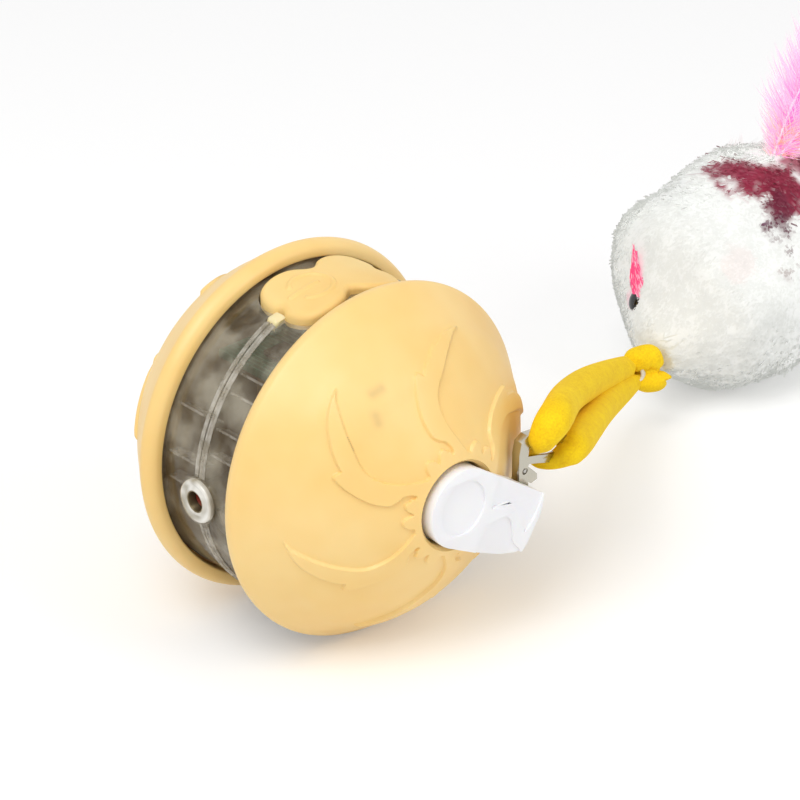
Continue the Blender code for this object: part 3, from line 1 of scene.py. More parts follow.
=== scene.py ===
# %% [markdown]
# A cat laser ball with its mouse teaser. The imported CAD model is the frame: it has every
# moving body, and each piece made here rides on one of those bodies. What the CAD model shows
# well keeps its shape and gets a finish. What the eye reads as smooth, soft or furry is made
# again, finer, in the place that the frame gives.
# %% Load the frame
import math

import bmesh
import bpy
import numpy as np
from mathutils import Matrix, Vector


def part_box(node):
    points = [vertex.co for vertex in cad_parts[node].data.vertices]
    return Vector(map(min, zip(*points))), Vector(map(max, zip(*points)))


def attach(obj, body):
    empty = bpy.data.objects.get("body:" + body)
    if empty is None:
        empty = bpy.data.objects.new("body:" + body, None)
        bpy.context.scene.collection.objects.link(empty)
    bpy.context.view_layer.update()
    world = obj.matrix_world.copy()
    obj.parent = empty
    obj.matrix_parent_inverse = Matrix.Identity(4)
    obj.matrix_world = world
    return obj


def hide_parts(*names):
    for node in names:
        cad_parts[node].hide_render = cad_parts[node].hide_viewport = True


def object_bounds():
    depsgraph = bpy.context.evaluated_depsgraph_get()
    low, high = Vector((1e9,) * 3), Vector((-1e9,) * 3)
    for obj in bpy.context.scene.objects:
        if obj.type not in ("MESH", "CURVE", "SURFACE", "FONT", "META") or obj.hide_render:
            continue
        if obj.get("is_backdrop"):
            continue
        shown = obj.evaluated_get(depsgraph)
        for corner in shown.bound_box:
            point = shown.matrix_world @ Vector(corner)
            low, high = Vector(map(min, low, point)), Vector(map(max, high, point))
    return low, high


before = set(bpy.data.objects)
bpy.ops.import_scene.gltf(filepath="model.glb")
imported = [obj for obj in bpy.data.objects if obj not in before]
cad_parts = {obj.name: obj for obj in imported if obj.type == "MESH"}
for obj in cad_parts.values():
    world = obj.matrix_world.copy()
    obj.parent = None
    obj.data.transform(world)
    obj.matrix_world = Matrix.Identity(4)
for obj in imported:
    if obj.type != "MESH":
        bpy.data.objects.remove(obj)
cad_low, cad_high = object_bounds()

# %% [markdown]
# Every place is worked out from the frame. The two wheels are alike and turn on one axle, so
# the middle of their boxes is the middle of the ball, and half their height is the tread's
# radius. Lengths below are written in millimetres, the unit that a toy maker would use.
# %% Sizes that come from the frame
MM = 0.001
near_low, near_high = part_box("wheel_dome_near")
far_low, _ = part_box("wheel_dome_far")
BALL = (near_low + near_high) / 2
BALL.x = (far_low.x + near_high.x) / 2
TREAD_RADIUS = (near_high.y - near_low.y) / 2
UP = np.array([0.0, 0.0, 1.0])


def in_ball(points_mm):
    """Points in millimetres from the ball's middle, as places in the frame."""
    return np.asarray(points_mm, float) * MM + np.array(BALL)


def in_mm(places):
    """Places in the frame, as millimetres from the ball's middle."""
    return (np.asarray(places, float) - np.array(BALL)) / MM


def middle_mm(node):
    low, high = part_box(node)
    return in_mm((low + high) / 2)


def unit(ways):
    """The same directions, each one long."""
    return ways / np.maximum(np.linalg.norm(ways, axis=-1, keepdims=True), 1e-9)


def square_to(ways, out):
    """Directions turned square to out, by taking their part along it away."""
    return ways - out * np.sum(ways * out, axis=-1, keepdims=True)


def turns(steps):
    """Even steps once round, in radians."""
    return np.arange(steps) * 2 * math.pi / steps


print("ball centre %.4f %.4f %.4f, radius %.2f mm" % (*BALL, TREAD_RADIUS / MM))


# %% [markdown]
# Two small helpers carry the shapes. A smooth path runs a curve through a few chosen points,
# which keeps an outline down to the points that matter. A skin joins rings of points with
# four-sided faces, and it can make a turned dome, a tube, a strap or a stuffed head.
# %% Curves and skins
def smooth_path(points, per_span, closed=False):
    """A Catmull-Rom curve through the points, with per_span steps between each two."""
    points = np.asarray(points, float)
    count = len(points)
    spans = count if closed else count - 1
    made = []
    for span in range(spans):
        if closed:
            a, b, c, d = (points[(span + k) % count] for k in (-1, 0, 1, 2))
        else:
            b, c = points[span], points[span + 1]
            a = points[span - 1] if span else 2 * b - c
            d = points[span + 2] if span + 2 < count else 2 * c - b
        for step in range(per_span):
            t = step / per_span
            made.append(b + 0.5 * t * (c - a + t * (2 * a - 5 * b + 4 * c - d + t * (3 * (b - c) + d - a))))
    if not closed:
        made.append(points[-1])
    return np.array(made)


def new_object(name, data):
    made = bpy.data.objects.new(name, data)
    bpy.context.scene.collection.objects.link(made)
    return made


def shade(mesh, sharp=None):
    """Smooth shading. Edges that turn by more than sharp degrees stay edges."""
    mesh.shade_smooth()
    if sharp is not None:
        mesh.set_sharp_from_angle(angle=math.radians(sharp))


def mesh_piece(name, vertices, faces, sharp=None):
    mesh = bpy.data.meshes.new(name)
    mesh.from_pydata(np.asarray(vertices, float).tolist(), [], faces)
    mesh.validate()
    shade(mesh, sharp)
    return new_object(name, mesh)


def skin(name, rings_mm, wrap=False, caps=True, sharp=None):
    """A mesh over closed rings of points in millimetres.

    wrap joins the last ring to the first. Without it, caps fills the end rings.
    """
    rings_mm = np.asarray(rings_mm, float)
    rows, columns = rings_mm.shape[:2]
    row = np.arange(rows if wrap else rows - 1)[:, None]
    column = np.arange(columns)[None, :]
    beside = (column + 1) % columns
    above = (row + 1) % rows
    corners = [row * columns + column, row * columns + beside,
               above * columns + beside, above * columns + column]
    faces = np.stack([c.ravel() for c in corners], 1).tolist()
    if caps and not wrap:
        faces.append(list(range(columns))[::-1])
        faces.append([(rows - 1) * columns + k for k in range(columns)])
    return mesh_piece(name, in_ball(rings_mm).reshape(-1, 3), faces, sharp)


def turned_rings(profile, steps):
    """A profile of (radius, along) turned about X, as one ring for each of its points."""
    turn = turns(steps)
    profile = np.asarray(profile, float)
    along = np.repeat(profile[:, 1:2], steps, axis=1)
    return np.stack([along, profile[:, :1] * np.cos(turn), profile[:, :1] * np.sin(turn)], 2)


def ripple(points, size_mm, seed, waves=7):
    """Smooth, repeatable unevenness from -1 to 1: a few sine waves in chosen directions."""
    chance = np.random.RandomState(seed)
    total = 0.0
    for _ in range(waves):
        way = chance.normal(size=3)
        way /= np.linalg.norm(way)
        length = size_mm * MM * chance.uniform(0.7, 1.6)
        total += np.sin(np.asarray(points) @ way * 2 * math.pi / length + chance.uniform(0, 2 * math.pi))
    return total / waves * 1.6


# %% [markdown]
# A node material is easiest to read when each node is one line. The function below adds a
# node, sets its own fields and its sockets, and links it. Colours are written as sRGB hex
# codes, the way that a paint card gives them, and one function turns them into the linear
# values that the renderer mixes light with.
# %% Colours and nodes
def linear(code):
    """An sRGB hex code as linear red, green, blue and full alpha."""
    parts = [int(code[k:k + 2], 16) / 255 for k in (0, 2, 4)]
    return tuple(p / 12.92 if p <= 0.04045 else ((p + 0.055) / 1.055) ** 2.4 for p in parts) + (1.0,)


def add(material, kind, settings=None, values=None, links=None):
    """Adds one node: settings are its own fields, values fill its sockets, links feed them."""
    made = material.node_tree.nodes.new(kind)
    for name, value in (settings or {}).items():
        setattr(made, name, value)
    for name, value in (values or {}).items():
        made.inputs[name].default_value = value
    for name, source in (links or {}).items():
        material.node_tree.links.new(source, made.inputs[name])
    return made


def per_mm(size_mm):
    """A texture's scale for a pattern whose features are this many millimetres apart."""
    return 1 / (size_mm * MM)


def new_material(name, code, **sockets):
    """A material with its Principled shader, whose plain sockets are set by name."""
    material = bpy.data.materials.new(name)
    material.use_nodes = True
    shader = material.node_tree.nodes["Principled BSDF"]
    shader.inputs["Base Color"].default_value = linear(code)
    for socket, value in sockets.items():
        shader.inputs[socket.replace("_", " ")].default_value = value
    return material, shader


def place_in_mm(material):
    """Where a point is on its own piece, which stays put when the piece moves."""
    return add(material, "ShaderNodeTexCoord").outputs["Object"]


def two_tone(material, shader, factor, code_low, code_high, low=0.35, high=0.65):
    """Base colour that goes from one code to another as a pattern's value goes from low to high."""
    ramp = add(material, "ShaderNodeValToRGB", links={"Fac": factor})
    for stop, place, code in zip(ramp.color_ramp.elements, (low, high), (code_low, code_high)):
        stop.position = place
        stop.color = linear(code)
    material.node_tree.links.new(ramp.outputs["Color"], shader.inputs["Base Color"])
    return ramp


def bumps(material, shader, height, depth_mm, strength=1.0):
    """Bump from a pattern's value, as deep as the real relief."""
    bump = add(material, "ShaderNodeBump", values={"Strength": strength, "Distance": depth_mm * MM},
               links={"Height": height})
    material.node_tree.links.new(bump.outputs["Normal"], shader.inputs["Normal"])


def noise(material, size_mm, detail=3.0, rough=0.55, distort=0.0):
    return add(material, "ShaderNodeTexNoise",
               values={"Scale": per_mm(size_mm), "Detail": detail, "Roughness": rough, "Distortion": distort},
               links={"Vector": place_in_mm(material)}).outputs["Fac"]


def drifting(name, code, code_low, code_high, drift, relief=None, stops=(0.35, 0.65), **sockets):
    """A material that drifts between two shades, with a finer pattern as its relief.

    drift is a size in millimetres and a detail. relief has those two, a depth in millimetres and
    a strength.
    """
    material, shader = new_material(name, code, **sockets)
    ramp = two_tone(material, shader, noise(material, *drift), code_low, code_high, *stops)
    if relief:
        size_mm, detail, depth_mm, strength = relief
        bumps(material, shader, noise(material, size_mm, detail), depth_mm, strength)
    return material, shader, ramp


def finish(piece, material, body, replaces=()):
    """Gives a piece its material, its body, and the CAD nodes that it stands for."""
    piece.data.materials.clear()
    piece.data.materials.append(material)
    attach(piece, body)
    if replaces:
        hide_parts(*replaces)
    return piece


# %% [markdown]
# The camera stands where the photograph was taken from: 48 degrees round from the laser's side
# towards the tail arm and 29 degrees up, with a long lens. The picture's middle isn't the
# ball's, so the camera is moved sideways and up by a share of the tread's radius.
# %% Camera
CAMERA_AZIMUTH = 48.09
CAMERA_HEIGHT = 28.67
CAMERA_ROLL = math.radians(-0.54)
CAMERA_DISTANCE_SHARE = 20.3
CAMERA_SIDE_SHARE = 0.3747
CAMERA_RISE_SHARE = 0.1927
LENS_PIXELS = 3799.9
PICTURE_PIXELS = 800
SENSOR_MM = 36.0


def way_to(azimuth, height):
    """The way from the ball to a place this many degrees round and up."""
    around, up = math.radians(azimuth), math.radians(height)
    return Vector((math.sin(around) * math.cos(up), -math.cos(around) * math.cos(up), math.sin(up)))


back = way_to(CAMERA_AZIMUTH, CAMERA_HEIGHT)
level = way_to(CAMERA_AZIMUTH + 90, 0)
upright = back.cross(level)
right = math.cos(CAMERA_ROLL) * level + math.sin(CAMERA_ROLL) * upright
above = math.cos(CAMERA_ROLL) * upright - math.sin(CAMERA_ROLL) * level
eye = BALL + TREAD_RADIUS * (back * CAMERA_DISTANCE_SHARE + right * CAMERA_SIDE_SHARE
                             + above * CAMERA_RISE_SHARE)
camera_data = bpy.data.cameras.new("camera")
camera_data.sensor_width = SENSOR_MM
camera_data.lens = LENS_PIXELS * SENSOR_MM / PICTURE_PIXELS
camera_data.clip_end = 10.0
camera = new_object("camera", camera_data)
camera.matrix_world = Matrix([(*row, 1.0 if k == 3 else 0.0) for k, row in
                              enumerate((right, above, back, eye))]).transposed()
bpy.context.scene.camera = camera
bpy.context.scene.view_settings.view_transform = "Standard"
print("camera %.0f mm from the ball" % ((eye - BALL).length / MM))

# %% [markdown]
# The photograph is a cut-out on white, lit softly from above and from the camera's left. A wide
# pale floor, an even world and two large lamps give the same. The floor shows white to the
# camera where nothing shades it, and the lamps stay low enough that pale plastic keeps its colour.
# %% Floor and light
FLOOR_HALF = 4.0
FLOOR_GLOW = 0.17
WORLD_STRENGTH = 0.58


def seen_by(owner, *rays):
    """1 where a ray of one of these kinds looks, and 0 for the rays that only gather light."""
    path = add(owner, "ShaderNodeLightPath")
    seen = path.outputs[rays[0]]
    for ray in rays[1:]:
        either = add(owner, "ShaderNodeMath", {"operation": "MAXIMUM"},
                     links={0: seen, 1: path.outputs[ray]})
        seen = either.outputs[0]
    return seen


def from_to(owner, factor, low, high, socket):
    """Links a socket to a value that goes from low to high as the factor goes from 0 to 1."""
    spread = add(owner, "ShaderNodeMapRange", values={"To Min": low, "To Max": high},
                 links={"Value": factor})
    owner.node_tree.links.new(spread.outputs["Result"], socket)


floor_material, floor_shader = new_material("pale_floor", "F2F2F2", Roughness=0.9,
                                            Emission_Color=linear("FFFFFF"))
corners = ((-1, -1, 0), (1, -1, 0), (1, 1, 0), (-1, 1, 0))
floor = mesh_piece("floor", np.array(corners) * FLOOR_HALF, [[0, 1, 2, 3]])
floor.location.z = -0.1 * MM
floor.data.materials.append(floor_material)
from_to(floor_material, seen_by(floor_material, "Is Camera Ray", "Is Glossy Ray"), 0.0, FLOOR_GLOW,
        floor_shader.inputs["Emission Strength"])
floor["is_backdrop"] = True

world = bpy.data.worlds.new("soft_room")
world.use_nodes = True
bpy.context.scene.world = world
sky = world.node_tree.nodes["Background"]
sky.inputs["Color"].default_value = linear("FFFFFF")
from_to(world, seen_by(world, "Is Camera Ray", "Is Glossy Ray", "Is Transmission Ray"), WORLD_STRENGTH, 1.0,
        sky.inputs["Strength"])


def lamp(name, azimuth, height, distance, size, power):
    """A square lamp that faces the ball from an azimuth and height in degrees."""
    way = way_to(azimuth, height)
    data = bpy.data.lights.new(name, "AREA")
    data.size = size
    data.energy = power
    made = new_object(name, data)
    made.location = BALL + way * distance
    made.rotation_euler = way.to_track_quat("Z", "Y").to_euler()
    return made


key_lamp = lamp("key_lamp", azimuth=20, height=58, distance=0.9, size=0.55, power=4.1)
side_lamp = lamp("side_lamp", azimuth=110, height=35, distance=1.0, size=0.5, power=1.6)
print("lamps:", key_lamp.name, side_lamp.name)

# %% [markdown]
# The wheels are moulded ABS in a warm cream. Moulded ABS is smooth but never a mirror: a fine
# spark-eroded grain, a third of a millimetre across, breaks up its shine, and the colour drifts a
# little where the plastic flowed. Its index of refraction is 1.54. Under it a trace of
# subsurface light softens the shadows. Use has left a few grey scuffs on one dome, and those
# are painted on the mesh as an attribute that the material mixes in.
# %% Cream ABS
ABS_IOR = 1.54
GRAIN_MM = 0.35
FLOW_MM = 16.0
GLOW_MM = 1.2


def moulded_abs(name, code, code_low, code_high, roughness, scuffed=False):
    material, shader, ramp = drifting(
        name, code, code_low, code_high, drift=(FLOW_MM, 2.0), relief=(GRAIN_MM, 2.0, 0.03, 0.35),
        Roughness=roughness, IOR=ABS_IOR, Subsurface_Weight=0.12, Subsurface_Radius=(1.0, 0.55, 0.25),
        Subsurface_Scale=GLOW_MM * MM)
    from_to(material, noise(material, 5.0), roughness - 0.05, roughness + 0.07, shader.inputs["Roughness"])
    if scuffed:
        worn = add(material, "ShaderNodeAttribute", {"attribute_name": "scuff"})
        dirty = add(material, "ShaderNodeMix", {"data_type": "RGBA"}, {7: linear("6E5B48")},
                    {0: worn.outputs["Fac"], 6: ramp.outputs["Color"]})
        material.node_tree.links.new(dirty.outputs[2], shader.inputs["Base Color"])
    return material


cream_abs = moulded_abs("cream_abs_moulded", "F8D286", "F6CE7F", "FAD68D", roughness=0.40, scuffed=True)
cream_pad_abs = moulded_abs("cream_abs_grained", "F5D083", "F3CA7A", "F8D68C", roughness=0.52)
print("materials:", cream_abs.name, cream_pad_abs.name)

# %% [markdown]
# Each wheel is a turned dome. Its side view starts at the hub hole, falls over the crown to a
# flared brim, turns round the tread and comes back under the rim, where the wall is 1.7 mm
# thick. The rosette is raised 0.6 mm, with six feather scrolls and twelve small scallops round
# the hub. A Boolean would leave hard steps, and a mould is never sharp, so each point of a fine
# grid is lifted by how far it lies inside the outline.
# %% Side view and rosette of a wheel
WHEEL_STEPS = 720
HUB_TURN_MM = ((6.8, 14.0), (6.8, 28.9), (8.0, 28.9), (8.0, 33.2), (8.15, 33.6), (8.5, 33.62))
CROWN_MM = ((8.5, 33.62), (12.2, 32.05), (16.52, 29.44), (20.2, 27.1), (23.41, 25.07),
            (27.71, 21.19), (30.3, 17.7))
BRIM_MM = ((30.3, 17.7), (32.3, 15.0), (33.45, 13.4), (34.0, 12.45), (34.0, 11.5), (33.55, 10.5),
           (32.7, 9.8), (31.5, 9.6), (31.2, 9.9))
UNDER_MM = ((31.2, 14.1), (29.3, 14.1), (29.3, 16.6), (26.2, 20.3), (22.2, 23.8), (15.5, 28.0),
            (10.6, 31.0), (9.2, 30.6), (9.2, 14.0))
RELIEF_MM = 0.60
RELIEF_EDGE_MM = 0.15
FEATHERS = 6
FEATHER_TURN = 4.0
FEATHER_LINE = ((28.5, 0.0), (27.9, 6.5), (26.9, 12.5), (25.4, 18.5), (23.9, 23.5), (22.6, 27.0),
                (23.4, 30.4), (21.8, 33.6), (19.6, 36.6), (17.4, 39.2), (15.6, 40.2), (13.9, 39.6),
                (12.9, 36.0), (12.3, 31.5), (11.3, 28.2), (10.3, 27.0), (10.1, 29.6), (11.0, 31.0))
SCALLOP_LINE = ((10.9, 33.5), (11.6, 37.0), (11.2, 42.0), (9.95, 46.5), (11.2, 50.5),
                (11.65, 55.5), (11.0, 60.5), (9.75, 63.5))
RETURN_LINE = ((9.7, 68.5), (11.3, 76.0), (13.6, 82.5), (16.2, 85.2), (19.0, 83.5), (22.3, 76.0),
               (25.5, 68.5), (27.6, 63.5))
FEATHER_SHARP = 5


def rosette_outline():
    """The rosette's closed edge in millimetres, as (across, up), from one feather's lines."""
    sector = np.concatenate([
        smooth_path(FEATHER_LINE[:FEATHER_SHARP + 1], 4)[:-1],
        smooth_path(FEATHER_LINE[FEATHER_SHARP:], 4)[:-1],
        smooth_path(SCALLOP_LINE, 3), smooth_path(RETURN_LINE, 4)])
    polar = np.concatenate([sector + [0, FEATHER_TURN + k * 360 / FEATHERS] for k in range(FEATHERS)])
    turn = np.radians(polar[:, 1])
    return np.column_stack([polar[:, 0] * np.cos(turn), polar[:, 0] * np.sin(turn)])


def depth_inside(points, outline):
    """How far each point lies inside a closed outline, and below zero outside."""
    nearest = np.full(len(points), 1e9)
    crossings = np.zeros(len(points), int)
    for a, b in zip(outline, np.roll(outline, -1, axis=0)):
        way = b - a
        share = np.clip(((points - a) @ way) / (way @ way), 0, 1)
        nearest = np.minimum(nearest, np.linalg.norm(points - a - share[:, None] * way, axis=1))
        spans = (a[1] > points[:, 1]) != (b[1] > points[:, 1])
        meets = a[0] + (points[:, 1] - a[1]) * way[0] / (way[1] if way[1] else 1e-12)
        crossings += spans & (points[:, 0] < meets)
    return np.where(crossings % 2 == 1, nearest, -nearest)


def soft_step(value, width):
    share = np.clip((value + width) / (2 * width), 0, 1)
    return share * share * (3 - 2 * share)


crown = smooth_path(CROWN_MM, 26)
wheel_profile = np.concatenate([HUB_TURN_MM[:-1], crown[:-1], smooth_path(BRIM_MM, 4), UNDER_MM])
crown_first = len(HUB_TURN_MM) - 1
rings = turned_rings(wheel_profile, WHEEL_STEPS)
raised = rings[crown_first:crown_first + len(crown)]
per_feather = WHEEL_STEPS // FEATHERS
outline = rosette_outline()
sample = raised[:, :per_feather, 1:].reshape(-1, 2)
lift = RELIEF_MM * soft_step(depth_inside(sample, outline), RELIEF_EDGE_MM)
lift = np.tile(lift.reshape(len(crown), per_feather), (1, FEATHERS))
slope = unit(np.gradient(crown, axis=0))
radius = crown[:, :1]
raised[:, :, 0] += lift * slope[:, :1]
outwards = 1 - lift * slope[:, 1:] / radius
raised[:, :, 1] *= outwards
raised[:, :, 2] *= outwards
print("wheel grid %d by %d" % rings.shape[:2])

# %% [markdown]
# The near wheel's scuffs are four short strokes: two soft smudges high on the dome, a thin dark
# nick on a feather's edge and a small mark at the brim. A point is as dirty as it is close to a
# stroke.
# %% Two wheels
SCUFFS_MM = ((24.4, 111.1, 24.7, 116.0, 0.7, 0.20), (22.3, 121.6, 21.3, 123.1, 0.9, 0.18),
             (24.1, 136.4, 22.3, 140.1, 0.14, 0.6), (33.4, 172.2, 33.7, 172.6, 0.2, 0.5))
DOME_FROM_MM = 15


def scuff_mask(points_mm):
    """How dirty each point is. Each stroke has two ends as (radius, degrees), a width and a weight."""
    mask = np.zeros(len(points_mm))
    spot = points_mm[:, 1:]
    for *ends, width, weight in SCUFFS_MM:
        start, end = (r * np.array([math.cos(math.radians(a)), math.sin(math.radians(a))]) for r, a in
                      (ends[:2], ends[2:]))
        way = end - start
        share = np.clip((spot - start) @ way / (way @ way), 0, 1)
        distance = np.linalg.norm(spot - start - share[:, None] * way, axis=1)
        mask = np.maximum(mask, weight * np.exp(-(distance / width) ** 2))
    return mask * (points_mm[:, 0] > DOME_FROM_MM)


def make_wheel(side, facing, body):
    """Facing is 1 at the near side and -1 at the far side, which is the near one turned half round."""
    points = rings * np.array([facing, facing, 1.0])
    wheel = skin("dome_" + side, points, wrap=True, sharp=35)
    scuff = wheel.data.attributes.new("scuff", "FLOAT", "POINT")
    mask = scuff_mask(rings.reshape(-1, 3)) * (facing > 0)
    scuff.data.foreach_set("value", mask.astype(np.float32))
    return finish(wheel, cream_abs, body, ["wheel_dome_" + side])


wheels = [make_wheel("near", 1, "near_wheel"), make_wheel("far", -1, "far_wheel")]
print("wheels:", [len(w.data.polygons) for w in wheels])

# %% [markdown]
# The CAD nodes that stay, such as the motors and the gears, come as flat facets with sharp
# edges. Real parts have a broken edge that catches the light. A Weld modifier joins the split
# corners, a small Bevel breaks the edges, and smooth shading by angle keeps flats flat.
# %% Finish for the CAD nodes that stay
WELD_MM = 0.01


def break_edges(piece, width_mm, angle, segments=2):
    bevel = piece.modifiers.new("broken_edge", "BEVEL")
    bevel.width = width_mm * MM
    bevel.segments = segments
    bevel.angle_limit = math.radians(angle)
    bevel.harden_normals = True


def keep_node(node, material, edge_mm=0.12, angle=32):
    """Dresses a CAD node in its place. An edge of zero is left sharp."""
    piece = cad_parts[node]
    piece.data.materials.clear()
    piece.data.materials.append(material)
    shade(piece.data, None if edge_mm else angle)
    weld = piece.modifiers.new("weld", "WELD")
    weld.merge_threshold = WELD_MM * MM
    if edge_mm:
        break_edges(piece, edge_mm, angle)


def metal(name, code, roughness, scratch_mm=0.25, scratch_depth=0.01):
    """Bare or plated metal: full metallic, default IOR, and fine handling scratches in its shine."""
    material, shader = new_material(name, code, Metallic=1.0, Roughness=roughness)
    scratches = noise(material, scratch_mm, 4.0, 0.7, 1.2)
    from_to(material, scratches, roughness * 0.7, roughness * 1.5, shader.inputs["Roughness"])
    bumps(material, shader, scratches, scratch_depth, 0.5)
    return material


zinc_steel = metal("zinc_plated_steel", "B9B7B2", roughness=0.30)
nickel_plate = metal("nickel_plated_zinc", "BDB9AC", roughness=0.20, scratch_mm=0.6)
for node in ("motor", "spindle_screw", "spindle_washer", "pinion_shaft"):
    for side in ("near", "far"):
        keep_node(node + "_" + side, zinc_steel)
for node in ("charge_socket", "arm_pin"):
    keep_node(node, zinc_steel)

# %% [markdown]
# Inside the drum sit moulded grey frames, milky acetal gears and washers, a green circuit board
# and a sleeved cell. Acetal is waxy and lets light in, so it has more subsurface than the ABS.
# The frames look brown through the tinted drum, which is how the photograph shows them.
# %% Inside pieces
frame_abs = moulded_abs("grey_brown_abs_frame", "86704F", "746042", "93805E", roughness=0.5)
acetal = moulded_abs("acetal_natural", "E6E2D4", "DFDACA", "EDEADF", roughness=0.34)
white_abs = moulded_abs("white_abs_moulded", "F5F5F8", "F2F2F6", "F8F8FA", roughness=0.34)
black_epoxy, _, _ = drifting("black_epoxy_moulding", "17171A", "131316", "1D1D20", drift=(1.2, 3.0),
                             relief=(0.15, 3.0, 0.02, 0.6), Roughness=0.45)
for node in ("end_plate_near", "end_plate_far", "chassis"):
    keep_node(node, frame_abs)
for node in ("thrust_washer", "ring_gear", "pinion"):
    for side in ("near", "far"):
        keep_node(node + "_" + side, acetal, edge_mm=0.06)
for node in ("controller_chip", "tact_switch"):
    keep_node(node, black_epoxy)

solder_mask, mask_shader = new_material("green_solder_mask", "1F5F4C", Roughness=0.32, IOR=1.5,
                                        Coat_Weight=0.3)
TRACE_PITCH_MM = 1.3
traces = add(solder_mask, "ShaderNodeTexBrick", {"offset": 0.5, "squash": 1.0},
             {"Scale": per_mm(TRACE_PITCH_MM), "Mortar Size": 0.07, "Brick Width": 2.6, "Row Height": 0.8,
              "Color1": linear("1F6350"), "Color2": linear("1B5646"), "Mortar": linear("3F8A6C")},
             {"Vector": place_in_mm(solder_mask)})
solder_mask.node_tree.links.new(traces.outputs["Color"], mask_shader.inputs["Base Color"])
bumps(solder_mask, mask_shader, traces.outputs["Fac"], 0.03)
keep_node("main_board", solder_mask)

PVC_IOR = 1.53
cell_sleeve, _, _ = drifting("blue_pvc_shrink_sleeve", "27508F", "234A86", "2C5899", drift=(6.0, 3.0),
                             relief=(2.5, 2.0, 0.12, 0.5), Roughness=0.28, IOR=PVC_IOR)
keep_node("battery_cell", cell_sleeve, edge_mm=0.5)
WIRES = (("laser_wire_blue", "blue_pvc_wire", "2E66C8", "2757B0"),
         ("laser_wire_red", "red_pvc_wire", "C4383A", "A92D31"),
         ("cell_wire_red", "red_pvc_cell_wire", "BE3033", "A0282C"),
         ("cell_wire_black", "black_pvc_wire", "202024", "17171A"))
for node, name, code, code_low in WIRES:
    wire_pvc, _, _ = drifting(name, code, code_low, code, drift=(0.8, 3.0), Roughness=0.38, IOR=PVC_IOR)
    keep_node(node, wire_pvc, edge_mm=0)
red_glass, _, _ = drifting("red_filter_lens", "7A1414", "6A0F10", "8C1B1A", drift=(1.5, 3.0),
                           Roughness=0.08, IOR=1.49)
keep_node("laser_lens", red_glass, edge_mm=0.05)
dull_brass = metal("dull_brass_bore", "7E7258", roughness=0.42, scratch_mm=0.2)
keep_node("laser_barrel", dull_brass, edge_mm=0.08)
keep_node("far_hub_cap", white_abs)
print("inside pieces finished:", len(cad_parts))

# %% [markdown]
# The drum between the wheels is two clear polycarbonate halves. Each is a turned ring 1.5 mm
# thick with a small lip along the seam, a boss for the laser, and an opening for the button. A
# Boolean cuts the openings out of the ring, because they are real cuts with sharp edges here.
# %% Cutting one closed piece with another
DRUM_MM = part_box("end_plate_near")[1].y / MM - BALL.y / MM
SEAM_MM = 0.15
DRUM_WALL_MM = 1.5
DRUM_HALF_MM = 11.5


def cut(piece, tool, operation="DIFFERENCE"):
    """Cuts or joins a closed piece with another one, which is then removed."""
    boolean = piece.modifiers.new("cut", "BOOLEAN")
    boolean.object = tool
    boolean.operation = operation
    boolean.solver = "EXACT"
    made = bpy.data.meshes.new_from_object(piece.evaluated_get(bpy.context.evaluated_depsgraph_get()))
    piece.modifiers.clear()
    piece.data = made
    bpy.data.objects.remove(tool)
    return piece


def mend(mesh, change):
    """Makes one change to a mesh in Blender's editable form."""
    work = bmesh.new()
    work.from_mesh(mesh)
    change(work)
    work.to_mesh(mesh)
    work.free()


def prism(name, outline, low, high, axes=(0, 1, 2)):
    """A closed outline drawn out straight. axes says which of X, Y and Z each number is."""
    outline = np.asarray(outline, float)
    rings = np.zeros((2, len(outline), 3))
    rings[:, :, axes[0]] = outline[:, 0]
    rings[:, :, axes[1]] = outline[:, 1]
    rings[0, :, axes[2]] = low
    rings[1, :, axes[2]] = high
    piece = skin(name, rings)
    mend(piece.data, lambda work: bmesh.ops.recalc_face_normals(work, faces=work.faces))
    return piece


FROM_FRONT = (0, 2, 1)
FROM_SIDE = (1, 2, 0)


def circle(radius, steps, up=0.0):
    turn = turns(steps)
    return np.column_stack([radius * np.cos(turn), up + radius * np.sin(turn)])


def rectangle(low_a, high_a, low_b, high_b):
    return [(low_a, low_b), (high_a, low_b), (high_a, high_b), (low_a, high_b)]


# %% [markdown]
# The button is a pad with two lobes and a waist. Its half width is given at eight places from
# the waist to its end. The same outline, a little larger, is the opening in the drum.
# %% Outline of the button
PAD_HALF_LENGTH_MM = 12.3
PAD_WAIST_MM = 0.9
PAD_HALF_WIDTH_MM = 8.1
PAD_SHARES = ((0.0, 0.65), (0.10, 0.72), (0.23, 0.88), (0.38, 0.97), (0.53, 1.0), (0.72, 0.96),
              (0.87, 0.85), (1.0, 0.70))
PAD_END_ROUND = 0.78
PAD_NICK_MM = 0.9
PAD_NICK_HALF_MM = 1.5
PAD_NICK_FROM_MM = 8.5
PAD_END_CURVE = (3.2, 0.36)
PAD_LEAST_MM = 0.02


def pad_width(along):
    """Half the pad's width at a place along it, in millimetres."""
    share = np.abs(along - PAD_WAIST_MM) / PAD_HALF_LENGTH_MM
    fine = smooth_path(PAD_SHARES, 8)
    width = np.interp(share, fine[:, 0], fine[:, 1]) * PAD_HALF_WIDTH_MM
    end = np.clip((share - PAD_END_ROUND) / (1 - PAD_END_ROUND), 0, 1)
    return width * (1 - end ** PAD_END_CURVE[0]) ** PAD_END_CURVE[1] + PAD_LEAST_MM


def nicked(along, across):
    """The small notch in the middle of each end of the pad."""
    from_waist = along - PAD_WAIST_MM
    reach = PAD_HALF_LENGTH_MM - PAD_NICK_FROM_MM
    near_end = np.clip((np.abs(from_waist) - PAD_NICK_FROM_MM) / reach, 0, 1)
    nick = PAD_NICK_MM * near_end ** 2 * np.exp(-(across / PAD_NICK_HALF_MM) ** 2)
    return along - np.sign(from_waist) * nick


